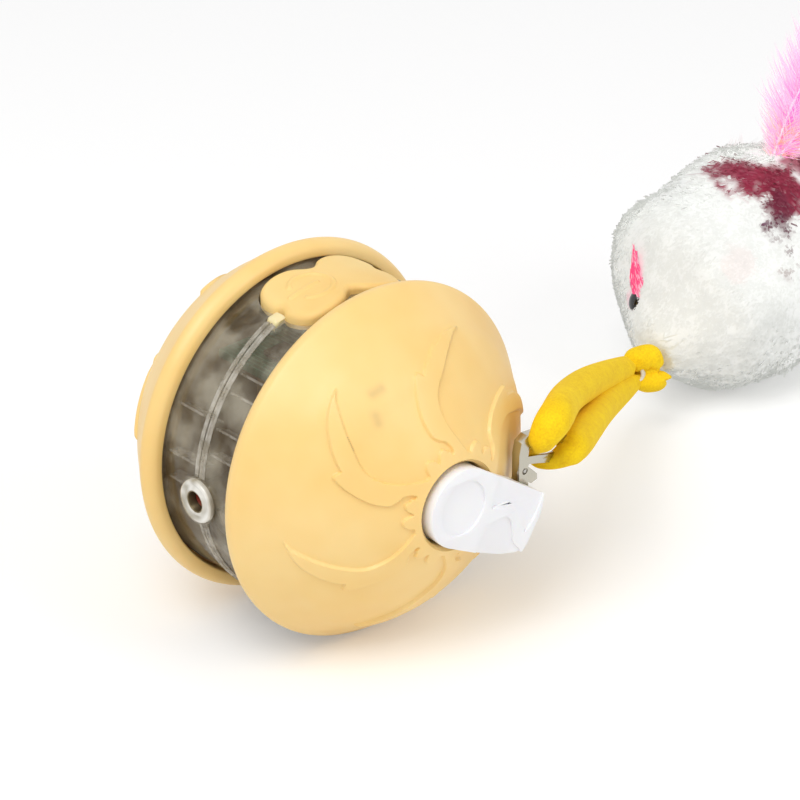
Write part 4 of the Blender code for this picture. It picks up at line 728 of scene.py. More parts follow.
pad_along = PAD_WAIST_MM + PAD_HALF_LENGTH_MM * np.sin(np.linspace(-math.pi / 2, math.pi / 2, 221))
pad_half = pad_width(pad_along)
pad_edge = np.concatenate([np.column_stack([pad_half, nicked(pad_along, pad_half)]),
                           np.column_stack([-pad_half, nicked(pad_along, pad_half)])[::-1]])
print("pad outline of %d points" % len(pad_edge))

# %% [markdown]
# Clear plastic is hard to show through when its inside is dark, as here. The tinted wall is
# mostly see-through, with a gloss of its own; its colour drifts from dark brown to near white in
# broad patches, which is painted reflection and painted shade. The ribs and the seam are thicker,
# so the eye gets a pale line there, and their pale, milky colour is painted light caught in that thickness.
# %% Drum halves
NEAR_RIBS = (135.0, 142.5, 156.0, 165.5, 232.0, 305.0)
FAR_RIBS = (154.0, 172.0, 182.0, -35.0, -68.0, -138.0)
LASER_Z_MM = -1.2
NOTCH_MM = (-13.3, 15.2)
NOTCH_HALF_MM = 1.6
PORT_MM = (-4.65, 4.65, 20.1, 23.9)
BOSS_MM = 4.6
LASER_BORE_MM = 2.7
POCKET_GROWTH = np.array([1.04, 1.02])
BOSS_RISE_MM = 0.9
OTHER_HALF_MM = (-9.0, SEAM_MM, -9.0, 9.0)
DRUM_STEPS = 288
# Each point starts with its height over the drum's outside. The other number is the distance
# from the middle for the wall and the lip, and from the rib's own middle for a rib.
WALL_MM = ((0, DRUM_HALF_MM), (0, 0.75), (0.28, 0.70), (0.28, SEAM_MM), (-DRUM_WALL_MM, SEAM_MM),
           (-DRUM_WALL_MM, DRUM_HALF_MM))
SEAM_LIP_MM = ((0.10, 1.30), (0.22, 1.18), (0.24, 0.74), (0.40, 0.62), (0.40, 0.24), (0.30, 0.16),
               (0.02, 0.16), (0.02, 1.30))
RIB_MM = ((-3.9, -0.16), (-1.3, -0.22), (-1.3, 0.22), (-3.9, 0.16))
RIB_ALONG_MM = (0.6, 10.2)
BOX_FACES = ((0, 1, 2, 3), (7, 6, 5, 4), (0, 4, 5, 1), (1, 5, 6, 2), (2, 6, 7, 3), (3, 7, 4, 0))
on_drum = np.array([DRUM_MM, 0.0])
THROUGH_TOP_MM = (10.0, 45.0)
THROUGH_FRONT_MM = (-40.0, -20.0)
THROUGH_LIP_MM = (-45.0, -20.0)
THROUGH_BACK_MM = (15.0, 45.0)
THROUGH_ALL_MM = (-40.0, 40.0)
PC_IOR = 1.58
# The wall's colour drifts from dark brown to near white in broad patches: painted reflections and painted
# shade over the real tint.
clear_pc, _, _ = drifting("clear_polycarbonate_painted_reflections", "B09F7E", "6B5839", "E2D8BF",
                          drift=(7.0, 3.0), relief=(4.5, 2.0, 0.12, 0.5), stops=(0.42, 0.64),
                          Roughness=0.08, IOR=PC_IOR, Alpha=0.27, Coat_Weight=0.6, Coat_Roughness=0.06)
# The ribs and the seam lip are real thicker plastic; their pale colour is painted light, for the light caught
# in that thickness.
rib_light_pc, _, _ = drifting("clear_polycarbonate_painted_edge_light", "C3BBA8", "A89E8A", "DDD8CC",
                          drift=(2.0, 3.0), relief=(0.6, 3.0, 0.04, 0.5),
                          Roughness=0.22, IOR=PC_IOR, Alpha=0.46)


def open_for_button(piece):
    """Cuts the pocket and the front notch that the button sits in."""
    grown = (pad_edge - [0, PAD_WAIST_MM]) * POCKET_GROWTH + [0, PAD_WAIST_MM]
    cut(piece, prism("pocket", grown, *THROUGH_TOP_MM))
    cut(piece, prism("notch", rectangle(-NOTCH_HALF_MM, NOTCH_HALF_MM, *NOTCH_MM), *THROUGH_TOP_MM))


def make_drum(side, facing, ribs):
    drum = skin("drum_" + side, turned_rings(WALL_MM + on_drum, DRUM_STEPS), wrap=True)
    boss = prism("boss", circle(BOSS_MM, 72, LASER_Z_MM),
                 -DRUM_MM - BOSS_RISE_MM, -DRUM_MM + BOSS_RISE_MM, FROM_FRONT)
    cut(boss, prism("half", rectangle(*OTHER_HALF_MM), *THROUGH_ALL_MM, FROM_FRONT))
    cut(drum, boss, "UNION")
    cut(drum, prism("bore", circle(LASER_BORE_MM, 72, LASER_Z_MM), *THROUGH_FRONT_MM, FROM_FRONT))
    open_for_button(drum)
    cut(drum, prism("port", rectangle(*PORT_MM), *THROUGH_BACK_MM, FROM_FRONT))
    if facing < 0:
        mirror = Matrix.Diagonal((-1, 1, 1, 1))
        drum.data.transform(Matrix.Translation(BALL) @ mirror @ Matrix.Translation(-BALL))
        drum.data.flip_normals()
    shade(drum.data, sharp=30)
    finish(drum, clear_pc, "ball_body", ["drum_shell_" + side])
    points, faces = [], []
    for degrees in ribs:
        turn = math.radians(degrees)
        out = np.array([0, math.cos(turn), math.sin(turn)])
        over = np.array([0, -math.sin(turn), math.cos(turn)])
        for along in RIB_ALONG_MM:
            start = np.array([facing * along, 0, 0])
            points += [out * high + over * wide + start for high, wide in RIB_MM + on_drum]
        faces += [[len(points) - 8 + corner for corner in quad] for quad in BOX_FACES]
    rib_piece = mesh_piece("drum_ribs_" + side, in_ball(points), faces, sharp=30)
    finish(rib_piece, rib_light_pc, "ball_body", [])
    seam_rings = turned_rings(SEAM_LIP_MM + on_drum, DRUM_STEPS) * np.array([facing, 1, 1])
    seam = skin("drum_seam_" + side, seam_rings, wrap=True)
    open_for_button(seam)
    cut(seam, prism("boss_hole", circle(BOSS_MM, 48, LASER_Z_MM), *THROUGH_LIP_MM, FROM_FRONT))
    shade(seam.data, sharp=30)
    finish(seam, rib_light_pc, "ball_body", [])
    return drum


LASER_RING_MM = ((4.15, 30.8), (4.15, 31.5), (3.95, 31.8), (3.5, 31.85), (3.15, 31.6),
                 (2.85, 31.62), (2.5, 31.95), (2.15, 31.9), (1.95, 31.5), (1.95, 30.6))
# The ring's colour drifts from grey-brown to near white in patches: painted glints on the glossy ring.
laser_ring_pc, _, _ = drifting("clear_polycarbonate_ring_painted_glints", "CFCBBE", "A8A08C", "E9E6DD",
                               drift=(3.4, 1.0), relief=(2.4, 1.0, 0.20, 0.6), stops=(0.36, 0.64),
                               Roughness=0.10, IOR=PC_IOR, Coat_Weight=0.8)
ring_rings = turned_rings(LASER_RING_MM, 96)[:, :, [1, 0, 2]] * np.array([1, -1, 1]) + UP * LASER_Z_MM
laser_ring = skin("laser_ring", ring_rings, caps=False, sharp=60)
finish(laser_ring, laser_ring_pc, "ball_body", [])

drums = [make_drum("near", 1, NEAR_RIBS), make_drum("far", -1, FAR_RIBS)]
print("drum halves:", [len(d.data.polygons) for d in drums])

# %% [markdown]
# The button's top follows a circle round the axle and its edges are rounded. How far a point
# of a fine grid lies inside the outline says how much the rounding drops it. The raised power
# sign, an open ring and a bar, is lifted in the same way as the wheels' rosette.
# %% Button
PAD_TOP_MM = DRUM_MM + 1.7
PAD_THICKNESS_MM = 2.7
PAD_ROUND_MM = 1.1
SIGN_Y_MM = -3.6
SIGN_RADIUS_MM = 4.0
SIGN_HALF_MM = 0.42
SIGN_BAR_MM = (5.0, 1.2)
SIGN_RAISE_MM = 0.30
SIGN_EDGE_MM = 0.16
SIGN_OPEN = math.radians(33)

pad_across = np.sin(np.linspace(-math.pi / 2, math.pi / 2, 97))
grid_x = pad_half[:, None] * pad_across
grid_y = nicked(np.repeat(pad_along[:, None], len(pad_across), axis=1), grid_x)
flat = np.column_stack([grid_x.ravel(), grid_y.ravel()])
inside = np.clip(depth_inside(flat, pad_edge[::2]), 0, PAD_ROUND_MM)
height = PAD_TOP_MM - (PAD_ROUND_MM - np.sqrt(PAD_ROUND_MM ** 2 - (PAD_ROUND_MM - inside) ** 2))
reach = np.hypot(flat[:, 0], flat[:, 1] - SIGN_Y_MM)
turn = np.abs(np.arctan2(flat[:, 0], SIGN_Y_MM - flat[:, 1]))
on_ring = SIGN_HALF_MM - np.abs(reach - SIGN_RADIUS_MM)
on_ring = np.minimum(on_ring, (turn - SIGN_OPEN) * SIGN_RADIUS_MM)
bar_y = np.clip(flat[:, 1], SIGN_Y_MM - SIGN_BAR_MM[0], SIGN_Y_MM + SIGN_BAR_MM[1])
on_bar = SIGN_HALF_MM - np.hypot(flat[:, 0], flat[:, 1] - bar_y)
height += SIGN_RAISE_MM * soft_step(np.maximum(on_ring, on_bar), SIGN_EDGE_MM)
top = np.column_stack([flat, np.sqrt(height ** 2 - flat[:, 1] ** 2)])
top = top.reshape(len(pad_along), len(pad_across), 3)
under = PAD_TOP_MM - PAD_THICKNESS_MM
back_again = [-1, len(pad_across) // 2, 0]
below = np.stack([grid_x[:, back_again], grid_y[:, back_again],
                  np.sqrt(under ** 2 - grid_y[:, back_again] ** 2)], 2)
pad_rings = np.concatenate([top, below], axis=1)
pad = skin("button_pad", pad_rings, sharp=50)
finish(pad, cream_pad_abs, "power_button", ["power_button_pad"])
tab_abs = moulded_abs("cream_abs_thin_tab", "F1E2AE", "E9D79C", "F7EBC2", roughness=0.35)
# Each row of a tab: back from the notch's end, height over the drum and half width.
TAB_ROWS_MM = ((2.4, 0.0, 1.35), (1.2, 0.2, 1.35), (0.6, 0.35, 1.35),
               (0.25, 0.25, 1.1), (0.1, -0.1, 1.1))
TAB_SECTION = ((-1, 0.0), (-0.6, 0.25), (0.6, 0.25), (1, 0.0), (0.9, -0.9), (-0.9, -0.9))
for name, notch_mm in zip(("front", "back"), NOTCH_MM):
    tab_rings = []
    for back_mm, rise, half in TAB_ROWS_MM:
        along = notch_mm - math.copysign(back_mm, notch_mm)
        tab_rings.append([(half * v, along, math.sqrt((DRUM_MM + rise + over) ** 2 - along ** 2))
                          for v, over in TAB_SECTION])
    tab = skin("button_tab_" + name, tab_rings, sharp=60)
    finish(tab, tab_abs, "power_button", [])
print("button grid %d by %d" % pad_rings.shape[:2])

# %% [markdown]
# The arm is moulded in white ABS. It takes the shape of its CAD solid, but its two shallow
# pockets get smooth edges: the straight-sided ones are filled, and rounded ones are cut, so
# that a curved rib is left between them. The clasp keeps its CAD shape. It is cast zinc with
# nickel plating: its edges are soft from tumbling, so its bevel is wide.
# %% Arm and clasp
ARM_FRONT_MM = (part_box("tail_arm")[1].x - BALL.x) / MM
ARM_TIP_MM = 20.6
ARM_HALF_MM = 7.6
ARM_DROOP = math.radians(28)
POCKET_MM = 0.5
FILLING_MM = 0.8
OVERRUN_MM = 2.0
FILLING = ((0.295, -0.90), (0.42, -0.955), (0.69, -0.925), (0.88, -0.82), (0.935, -0.60),
           (0.962, -0.10), (0.972, 0.13), (0.960, 0.33), (0.925, 0.60), (0.70, 0.71), (0.38, 0.82),
           (0.29, 0.70))
LOWER_POCKET = ((0.385, -0.36), (0.45, -0.20), (0.56, -0.04), (0.665, -0.12), (0.73, -0.36),
                (0.80, -0.63), (0.90, -0.76), (0.95, -0.95), (0.90, -1.15), (0.68, -1.20),
                (0.42, -1.20), (0.35, -0.90))
UPPER_POCKET = ((0.345, 0.12), (0.40, 0.16), (0.54, 0.32), (0.685, 0.19), (0.80, -0.04),
                (0.88, -0.34), (0.93, -0.10), (0.95, 0.14), (0.95, 0.62), (0.94, 0.90),
                (0.70, 1.00), (0.39, 1.05), (0.31, 0.70))


def arm_outline(shares):
    """Shares along and across the arm, as (y, z) in millimetres."""
    flat = np.array(shares) * [ARM_TIP_MM, ARM_HALF_MM]
    turn = np.array([[math.cos(ARM_DROOP), -math.sin(ARM_DROOP)],
                     [math.sin(ARM_DROOP), math.cos(ARM_DROOP)]])
    return flat @ turn


arm = new_object("tail_arm_moulding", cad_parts["tail_arm"].data.copy())
mend(arm.data, lambda work: bmesh.ops.remove_doubles(work, verts=work.verts, dist=WELD_MM / 2 * MM))
filling = prism("filling", arm_outline(FILLING), ARM_FRONT_MM - FILLING_MM, ARM_FRONT_MM, FROM_SIDE)
cut(arm, filling, "UNION")
for shares in (LOWER_POCKET, UPPER_POCKET):
    edge = arm_outline(smooth_path(shares, 7, closed=True))
    cut(arm, prism("pocket", edge, ARM_FRONT_MM - POCKET_MM, ARM_FRONT_MM + OVERRUN_MM, FROM_SIDE))
arm.data.shade_smooth()
break_edges(arm, width_mm=0.22, angle=40, segments=3)
finish(arm, white_abs, "arm", ["tail_arm"])
print("arm faces:", len(arm.data.polygons))
for node in ("clasp_body", "clasp_lever"):
    keep_node(node, nickel_plate, edge_mm=0.30, angle=28)
keep_node("lever_pin", zinc_steel, edge_mm=0.05)

# %% [markdown]
# The strap is a stuffed velvet tube about 6 mm thick, folded once through the clasp. The route
# has a share of the full thickness at each point, because the velvet is squeezed thin where it
# bears on the clasp. Small lengthwise folds show where it is squeezed, and the tube is never
# quite even. Velvet has an upright pile: seen edge-on it is paler and more saturated, which
# the shader's sheen gives.
# %% Velvet and the strap
def velvet(name, code, code_low, code_high):
    material, shader = new_material(name, code, Roughness=0.85, IOR=1.46, Sheen_Weight=0.09,
                                    Sheen_Roughness=0.45, Sheen_Tint=linear("FFDC14"))
    shade = add(material, "ShaderNodeMath", {"operation": "ADD"},
                links={0: noise(material, 3.0, 4.0, 0.65), 1: noise(material, 0.4, 2.0)})
    half = add(material, "ShaderNodeMath", {"operation": "MULTIPLY"}, {1: 0.5}, {0: shade.outputs[0]})
    two_tone(material, shader, half.outputs[0], code_low, code_high, 0.36, 0.62)
    bumps(material, shader, noise(material, 0.55, 3.0, 0.7), 0.10, 0.5)
    return material


yellow_velvet = velvet("yellow_pile_velvet", "F8D002", "EFC100", "FFDA05")
STRAP_FULL_MM = 3.1
FOLDS = 5
FOLD_SHARE = 0.10
FOLDED_BELOW = 0.95
FOLDED_OVER = 0.5
UNEVEN_SHARES = (0.025, 0.02)
STRAP_MM = ((-4.8, 82.1, -17.7, 0.56), (-3.5, 78.6, -16.5, 0.82), (9.3, 57.5, -6.3, 1.00),
            (22.1, 38.5, 2.2, 1.04), (33.2, 24.8, 8.2, 1.04), (34.4, 20.9, 6.3, 0.92),
            (32.6, 21.4, 3.6, 0.60), (30.6, 22.2, 2.3, 0.42), (29.0, 22.9, 1.0, 0.38),
            (28.4, 23.5, -0.9, 0.38), (29.3, 24.6, -2.6, 0.38), (31.4, 26.2, -2.2, 0.50),
            (33.2, 28.4, -0.6, 0.84), (31.6, 31.2, -0.6, 1.00), (23.4, 42.5, -4.9, 1.04),
            (9.8, 60.2, -12.4, 1.00), (-2.4, 79.2, -19.8, 0.76), (-4.3, 83.3, -21.0, 0.50))


def tube(name, path, radius, columns, sharp=None):
    """A tube round a path, carried along without twist, with one radius or one for each point."""
    turn = turns(columns)[:, None]
    side = UP
    rings = []
    for way in unit(np.gradient(path, axis=0)):
        side = unit(square_to(side, way))
        rings.append(np.cos(turn) * side + np.sin(turn) * np.cross(way, side))
    return skin(name, path[:, None] + np.array(rings) * np.asarray(radius)[..., None], sharp=sharp)


def soft_tube(name, route, full_mm, seed, columns=40, per_span=9):
    """A stuffed tube along (x, y, z, share) points, with folds where its share is small."""
    route = smooth_path(route, per_span)
    turn = turns(columns)
    share = route[:, 3:4]
    squeeze = np.clip((FOLDED_BELOW - share) / FOLDED_OVER, 0, 1)
    travel = np.arange(len(route))[:, None] / per_span
    radius = full_mm * share * (1 + FOLD_SHARE * squeeze * np.sin(FOLDS * turn + seed + 0.8 * travel))
    radius = radius * (1 + UNEVEN_SHARES[0] * np.sin(3 * turn + 2.1 * travel)
                       + UNEVEN_SHARES[1] * np.sin(2 * turn - 3.3 * travel + seed))
    return tube(name, route[:, :3], radius, columns, sharp=75)


strap = soft_tube("velvet_strap_tube", STRAP_MM, STRAP_FULL_MM, seed=1.0)
finish(strap, yellow_velvet, "strap", ["velvet_strap"])
print("strap faces:", len(strap.data.polygons))

# %% [markdown]
# The strap's ends are tied to the mouse's nose with white elastic. The velvet swells into an
# upper and a lower lobe and a short cut end. Each lobe is a short stuffed tube of its own.
# %% Knot and elastic
KNOT_LOBES_MM = {
    "upper": ((-6.0, 83.0, -18.4, 0.50), (-5.8, 83.6, -17.9, 0.80), (-5.3, 84.8, -17.3, 0.98),
              (-4.6, 86.0, -16.9, 1.02), (-3.9, 87.2, -17.0, 0.98), (-3.4, 88.0, -18.0, 0.80),
              (-3.8, 88.2, -19.2, 0.50)),
    "lower": ((-5.2, 83.6, -20.8, 0.40), (-4.8, 84.4, -21.2, 0.70), (-3.9, 85.6, -21.7, 0.84),
              (-2.9, 87.0, -21.9, 0.88), (-2.1, 88.2, -21.6, 0.80), (-1.8, 88.9, -21.2, 0.50)),
    "middle": ((-5.4, 85.0, -19.0, 0.5), (-4.8, 86.6, -19.4, 0.88), (-4.2, 88.2, -19.6, 0.80),
               (-4.2, 89.4, -19.6, 0.4)),
    "tag": ((-2.4, 88.4, -21.0, 0.42), (-1.4, 89.2, -21.1, 0.34), (-0.7, 90.2, -21.3, 0.10)),
}
KNOT_FULL_MM = 2.5
for number, (name, route) in enumerate(KNOT_LOBES_MM.items()):
    lobe = soft_tube("velvet_knot_" + name, route, KNOT_FULL_MM, seed=2.0 + number, columns=28,
                     per_span=8)
    finish(lobe, yellow_velvet, "mouse", ["strap_knot"] if name == "upper" else [])

white_elastic, elastic_shader = new_material("white_braided_elastic", "EFEDE6", Roughness=0.75)
BRAID_MM = 0.5
BANDS_PER_SCALE = 20
braid = add(white_elastic, "ShaderNodeTexWave", {"wave_type": "BANDS", "bands_direction": "DIAGONAL"},
            {"Scale": per_mm(BRAID_MM) / BANDS_PER_SCALE, "Distortion": 1.5, "Detail": 2.0},
            {"Vector": place_in_mm(white_elastic)})
two_tone(white_elastic, elastic_shader, braid.outputs["Fac"], "DAD6CB", "F4F2EC", 0.2, 0.8)
bumps(white_elastic, elastic_shader, braid.outputs["Fac"], 0.1, 0.8)
ELASTIC_TURNS = 3
ELASTIC_HALF_MM = (1.9, 1.3)
ELASTIC_THREAD_MM = 0.42
ELASTIC_LONG_MM = 1.6
ELASTIC_MM = (-4.8, 84.2, -19.4)
NECK_WAY = unit(np.array([-0.42, 0.80, -0.43]))
WIDE_WAY = np.array([2.8, 1.2, -3.0])
wind = np.linspace(0, ELASTIC_TURNS * 2 * math.pi, ELASTIC_TURNS * 40)
flat_side = unit(square_to(WIDE_WAY, NECK_WAY))
thin_side = np.cross(NECK_WAY, flat_side)
elastic_route = (np.array(ELASTIC_MM) + np.outer((wind / wind[-1] - 0.5) * ELASTIC_LONG_MM, NECK_WAY)
                 + np.outer(np.cos(wind) * ELASTIC_HALF_MM[0], flat_side)
                 + np.outer(np.sin(wind) * ELASTIC_HALF_MM[1], thin_side))
elastic = tube("elastic_winding", elastic_route, ELASTIC_THREAD_MM, columns=10)
finish(elastic, white_elastic, "mouse", ["elastic_wrap"])
print("knot pieces:", len(KNOT_LOBES_MM), "and the elastic")

# %% [markdown]
# The mouse is a stuffed skin of white plush. Its shape is a side view turned about a line from
# the body's middle to the knot: a round body that narrows to the nose. The CAD solid is the
# outside of its fur, so the skin lies a little under it, and it is slightly lumpy as all
# stuffing is.
# %% Skin of the mouse
MOUSE_MM = np.array([-10.6, 123.0, -10.2])
NOSE_MM = np.array([-6.5, 86.8, -19.3])
HEAD_WAY = unit(NOSE_MM - MOUSE_MM)
BODY_MM = ((-25.0, 0.15), (-24.2, 6.4), (-21.5, 12.4), (-16.5, 18.0), (-9.0, 22.2), (0.0, 23.8),
           (8.0, 22.6), (14.2, 20.1), (20.9, 16.6), (24.9, 12.6), (28.0, 9.2), (30.7, 6.3),
           (33.0, 3.6), (33.9, 0.15))
SKIN_SINK_MM = 1.3
CHEEK_MM = 0.9
HEAD_FROM_MM = 8.0
HEAD_OVER_MM = 14.0
END_RADIUS_MM = 0.12
FLOOR_MM = -TREAD_RADIUS / MM

body_profile = smooth_path(BODY_MM, 5)
head_share = np.clip((body_profile[:, 0] - HEAD_FROM_MM) / HEAD_OVER_MM, 0, 1)
body_profile[:, 1] = np.maximum(
    body_profile[:, 1] - SKIN_SINK_MM * (1 - head_share) + CHEEK_MM * head_share, END_RADIUS_MM)
mouse_side = unit(np.cross(HEAD_WAY, UP))
mouse_up = np.cross(mouse_side, HEAD_WAY)
turn = turns(96)[:, None]
lift_way = np.cos(turn) * mouse_side + np.sin(turn) * mouse_up
mouse_rings = MOUSE_MM + body_profile[:, None, :1] * HEAD_WAY + body_profile[:, None, 1:] * lift_way
LUMP_APART_MM = 17
LUMP_MM = 0.5
SHOULDER_WAY = unit(np.array([-0.60, -0.15, 0.79]))
SHOULDER_MM = 4.2
SHOULDER_AHEAD_MM = 16.5
SHOULDER_REACH_MM = 8.0
SHOULDER_SHARP = 1.6
SKIN_LEAST_UP_MM = 0.8
lumps = ripple(mouse_rings * MM, LUMP_APART_MM, 3)
shoulder = SHOULDER_MM * np.exp(-((body_profile[:, :1] - SHOULDER_AHEAD_MM) / SHOULDER_REACH_MM) ** 2)
shoulder = shoulder * np.clip(lift_way @ SHOULDER_WAY, 0, 1) ** SHOULDER_SHARP
mouse_rings = mouse_rings + lift_way * (lumps * LUMP_MM + shoulder)[:, :, None]
mouse_rings[:, :, 2] = np.maximum(mouse_rings[:, :, 2], FLOOR_MM + SKIN_LEAST_UP_MM)

# %% [markdown]
# Patches of dyed fur sit on the back: maroon with white tufts through it, and small brown,
# violet and pink specks. A beige patch under the chin, by the knot, is painted shade. Each patch
# is a place, a reach in millimetres, a colour and how strong it is. One function gives any point
# of the fur its colour, for the skin and the fibres alike.
# %% Fur colours
DYE_AND_SHADE_PATCHES_MM = (
    ((-13.0, 116.0, 15.0), 5.5, "8E1F3F", 0.95), ((-6.5, 117.5, 15.5), 6.8, "921F40", 1.0),
    ((-0.5, 120.5, 14.3), 7.2, "96213F", 1.0), ((1.5, 121.5, 12.5), 7.0, "8A1C3A", 1.0),
    ((3.8, 116.2, 11.0), 5.0, "6E1532", 1.0), ((6.8, 113.6, 7.4), 4.2, "5C1A33", 1.0),
    ((9.8, 113.0, 3.4), 3.4, "7A5D62", 0.6), ((11.4, 111.4, -0.5), 3.0, "8C6F6A", 0.45),
    ((-18.6, 110.7, 12.4), 2.6, "C27F92", 0.7), ((-0.7, 109.8, 11.2), 2.8, "8A7478", 0.6),
    ((3.4, 109.0, 8.1), 2.5, "5B3FC0", 1.0), ((4.4, 103.4, 1.6), 4.0, "F0DFDC", 0.3),
    # The first patch on the next line, beige under the chin by the knot, is painted shade, not dye.
    ((-4.8, 90.6, -19.4), 3.0, "D6C79A", 0.5), ((-14.6, 93.0, -9.6), 2.4, "F4C6D2", 0.55),
    ((-28.0, 131.0, 6.0), 6.5, "8E1F3F", 0.9), ((-20.0, 139.0, 4.0), 7.0, "8A1C3A", 0.8),
    ((-4.0, 134.0, 11.0), 7.0, "921F40", 0.9), ((8.0, 128.0, 4.0), 5.0, "8A1C3A", 0.8))


def rgb(code):
    return np.array(linear(code)[:3])


def blend(first, second, share):
    return first * (1 - share) + second * share


FUR_WHITE = rgb("EEEFED")
# The roots of the blades and the skin under them are a little darker than the tips: painted shade deep in the
# pile.
FUR_ROOT_PAINTED_SHADE = rgb("E6E7E4")
SKIN_PAINTED_SHADE = 0.93
PATCH_RAGGED_MM = 4.5
PATCH_RAGGED = 0.30
PATCH_SOFT = 0.16


def fur_colour(points_mm, base):
    """The colour of the fur at each point, as linear red, green and blue."""
    colour = base
    edge = ripple(points_mm * MM, PATCH_RAGGED_MM, 11)
    for place, reach_mm, code, weight in DYE_AND_SHADE_PATCHES_MM:
        distance = np.linalg.norm(points_mm - np.array(place), axis=1) / reach_mm
        mask = soft_step(1.0 - distance + PATCH_RAGGED * edge, PATCH_SOFT)[:, None] * weight
        colour = blend(colour, rgb(code), mask)
    return colour


def paint(piece, colours):
    layer = piece.data.color_attributes.new("pile", "FLOAT_COLOR", "POINT")
    rgba = np.column_stack([colours, np.ones(len(colours))]).astype(np.float32)
    layer.data.foreach_set("color", rgba.ravel())


# Light that enters pale pile is scattered from fibre to fibre and leaves it everywhere. A small
# glow of the fibre's own colour stands for it, and it keeps the shaded side from going grey.
PILE_GLOW = 0.17
BACKING_GLOW = 0.22


def pile_material(name, roughness, sheen, size_mm, spread=0.12, bump=0.0, glow=PILE_GLOW):
    """Painted fibre: colour from the mesh, with a small drift of shade from tuft to tuft.

    A ribbon carries the normal of the skin below it, so only solid pieces take a bump.
    """
    material, shader = new_material(name, "F5F3EE", Roughness=roughness, IOR=1.5, Sheen_Weight=sheen,
                                    Sheen_Roughness=0.5, Emission_Strength=glow)
    painted = add(material, "ShaderNodeAttribute", {"attribute_name": "pile"})
    drift = add(material, "ShaderNodeMapRange", values={"To Min": 1 - spread, "To Max": 1 + spread * 0.2},
                links={"Value": noise(material, size_mm, 3.0)})
    mixed = add(material, "ShaderNodeVectorMath", {"operation": "SCALE"},
                links={0: painted.outputs["Color"], "Scale": drift.outputs["Result"]})
    for socket in ("Base Color", "Emission Color"):
        material.node_tree.links.new(mixed.outputs[0], shader.inputs[socket])
    if bump:
        bumps(material, shader, noise(material, 0.5, 2.0), bump, 0.5)
    return material


white_plush = pile_material("white_plush_fibre", roughness=0.8, sheen=0.25, size_mm=5.0)
white_backing = pile_material("white_plush_backing", roughness=0.85, sheen=0.25, size_mm=5.0,
                              bump=0.08, glow=BACKING_GLOW)
mouse_skin = skin("mouse_skin", mouse_rings)
paint(mouse_skin, fur_colour(mouse_rings.reshape(-1, 3), FUR_WHITE * SKIN_PAINTED_SHADE))
finish(mouse_skin, white_backing, "mouse", ["mouse_body", "mouse_head"])
print("mouse skin faces:", len(mouse_skin.data.polygons))

# %% [markdown]
# Fur reads as tufts, not as single hairs, so the fibres grow in clumps: a few blades start
# round one root and lean together to one tip. They lie back from the nose, swirl on the body,
# and sag. Near the nose the pile is short and close. Each blade is a thin ribbon of three
# faces. Its shading normal is taken from the skin below it, which gives the soft, even light of
# real fur. A real fibre is far too fine to show, so a blade is drawn half a millimetre wide.
# %% Fibres
BLADE_STEPS = np.array([0.0, 0.38, 0.74, 1.0])
BLADE_TAPER = np.array([0.5, 0.5, 0.33])
BLADE_SHADES = np.array([0.0, 0.4, 0.8, 0.0, 0.4, 0.8, 1.0])
NORMAL_LEAN = 0.25
LEAST_UP_MM = 0.05


def blades(name, roots, tips, bend, outward, width_mm, colours_root, colours_tip, twist):
    """Thin tapering ribbons in millimetres. outward is the shading normal at each root."""
    steps = BLADE_STEPS[:, None, None]
    middle = (roots + tips) / 2 + bend
    line = (1 - steps) ** 2 * roots + 2 * steps * (1 - steps) * middle + steps ** 2 * tips
    way = tips - roots
    side = unit(np.cross(way, outward)) * np.cos(twist)[:, None] + outward * np.sin(twist)[:, None]
    half = BLADE_TAPER[:, None, None] * width_mm[None, :, None]
    left, right_edge = line[:3] - side * half, line[:3] + side * half
    count = len(roots)
    points = np.concatenate([left, right_edge, line[3:]], axis=0).transpose(1, 0, 2).reshape(-1, 3)
    points[:, 2] = np.maximum(points[:, 2], FLOOR_MM + LEAST_UP_MM)
    first = np.arange(count)[:, None] * 7
    quads = np.concatenate([first + np.array([0, 3, 4, 1]), first + np.array([1, 4, 5, 2])])
    tri = first + np.array([2, 5, 6])
    made = mesh_piece(name, in_ball(points), quads.tolist() + tri.tolist())
    share = BLADE_SHADES[None, :, None]
    paint(made, blend(colours_root[:, None], colours_tip[:, None], share).reshape(-1, 3))
    normal = unit(outward[:, None] + NORMAL_LEAN * share * unit(way)[:, None])
    made.data.normals_split_custom_set_from_vertices(normal.reshape(-1, 3).tolist())
    return made


def grow(piece, count, seed, weight):
    """Chosen places on a skin: where they are, and which way is out, in millimetres from the ball."""
    chance = np.random.RandomState(seed)
    mesh = piece.data
    at = np.empty(len(mesh.vertices) * 3)
    mesh.vertices.foreach_get("co", at)
    at = in_mm(at.reshape(-1, 3))
    out = np.empty(len(mesh.vertices) * 3)
    mesh.vertex_normals.foreach_get("vector", out)
    out = out.reshape(-1, 3)
    quads = np.array([p.vertices[:] for p in mesh.polygons if len(p.vertices) == 4])
    corners = at[quads]
    area = np.linalg.norm(np.cross(corners[:, 2] - corners[:, 0], corners[:, 3] - corners[:, 1]), axis=1)
    area = area * weight(corners.mean(axis=1))
    pick = chance.choice(len(quads), count, p=area / area.sum())
    u, v = chance.uniform(size=(2, count, 1))
    share = [(1 - u) * (1 - v), u * (1 - v), u * v, (1 - u) * v]
    spot = sum(s * corners[pick, k] for k, s in enumerate(share))
    normal = sum(s * out[quads[pick, k]] for k, s in enumerate(share))
    return spot, unit(normal), chance


def ahead_of(points):
    """How far each point is from the body's middle towards the nose, in millimetres."""
    return (points - MOUSE_MM) @ HEAD_WAY


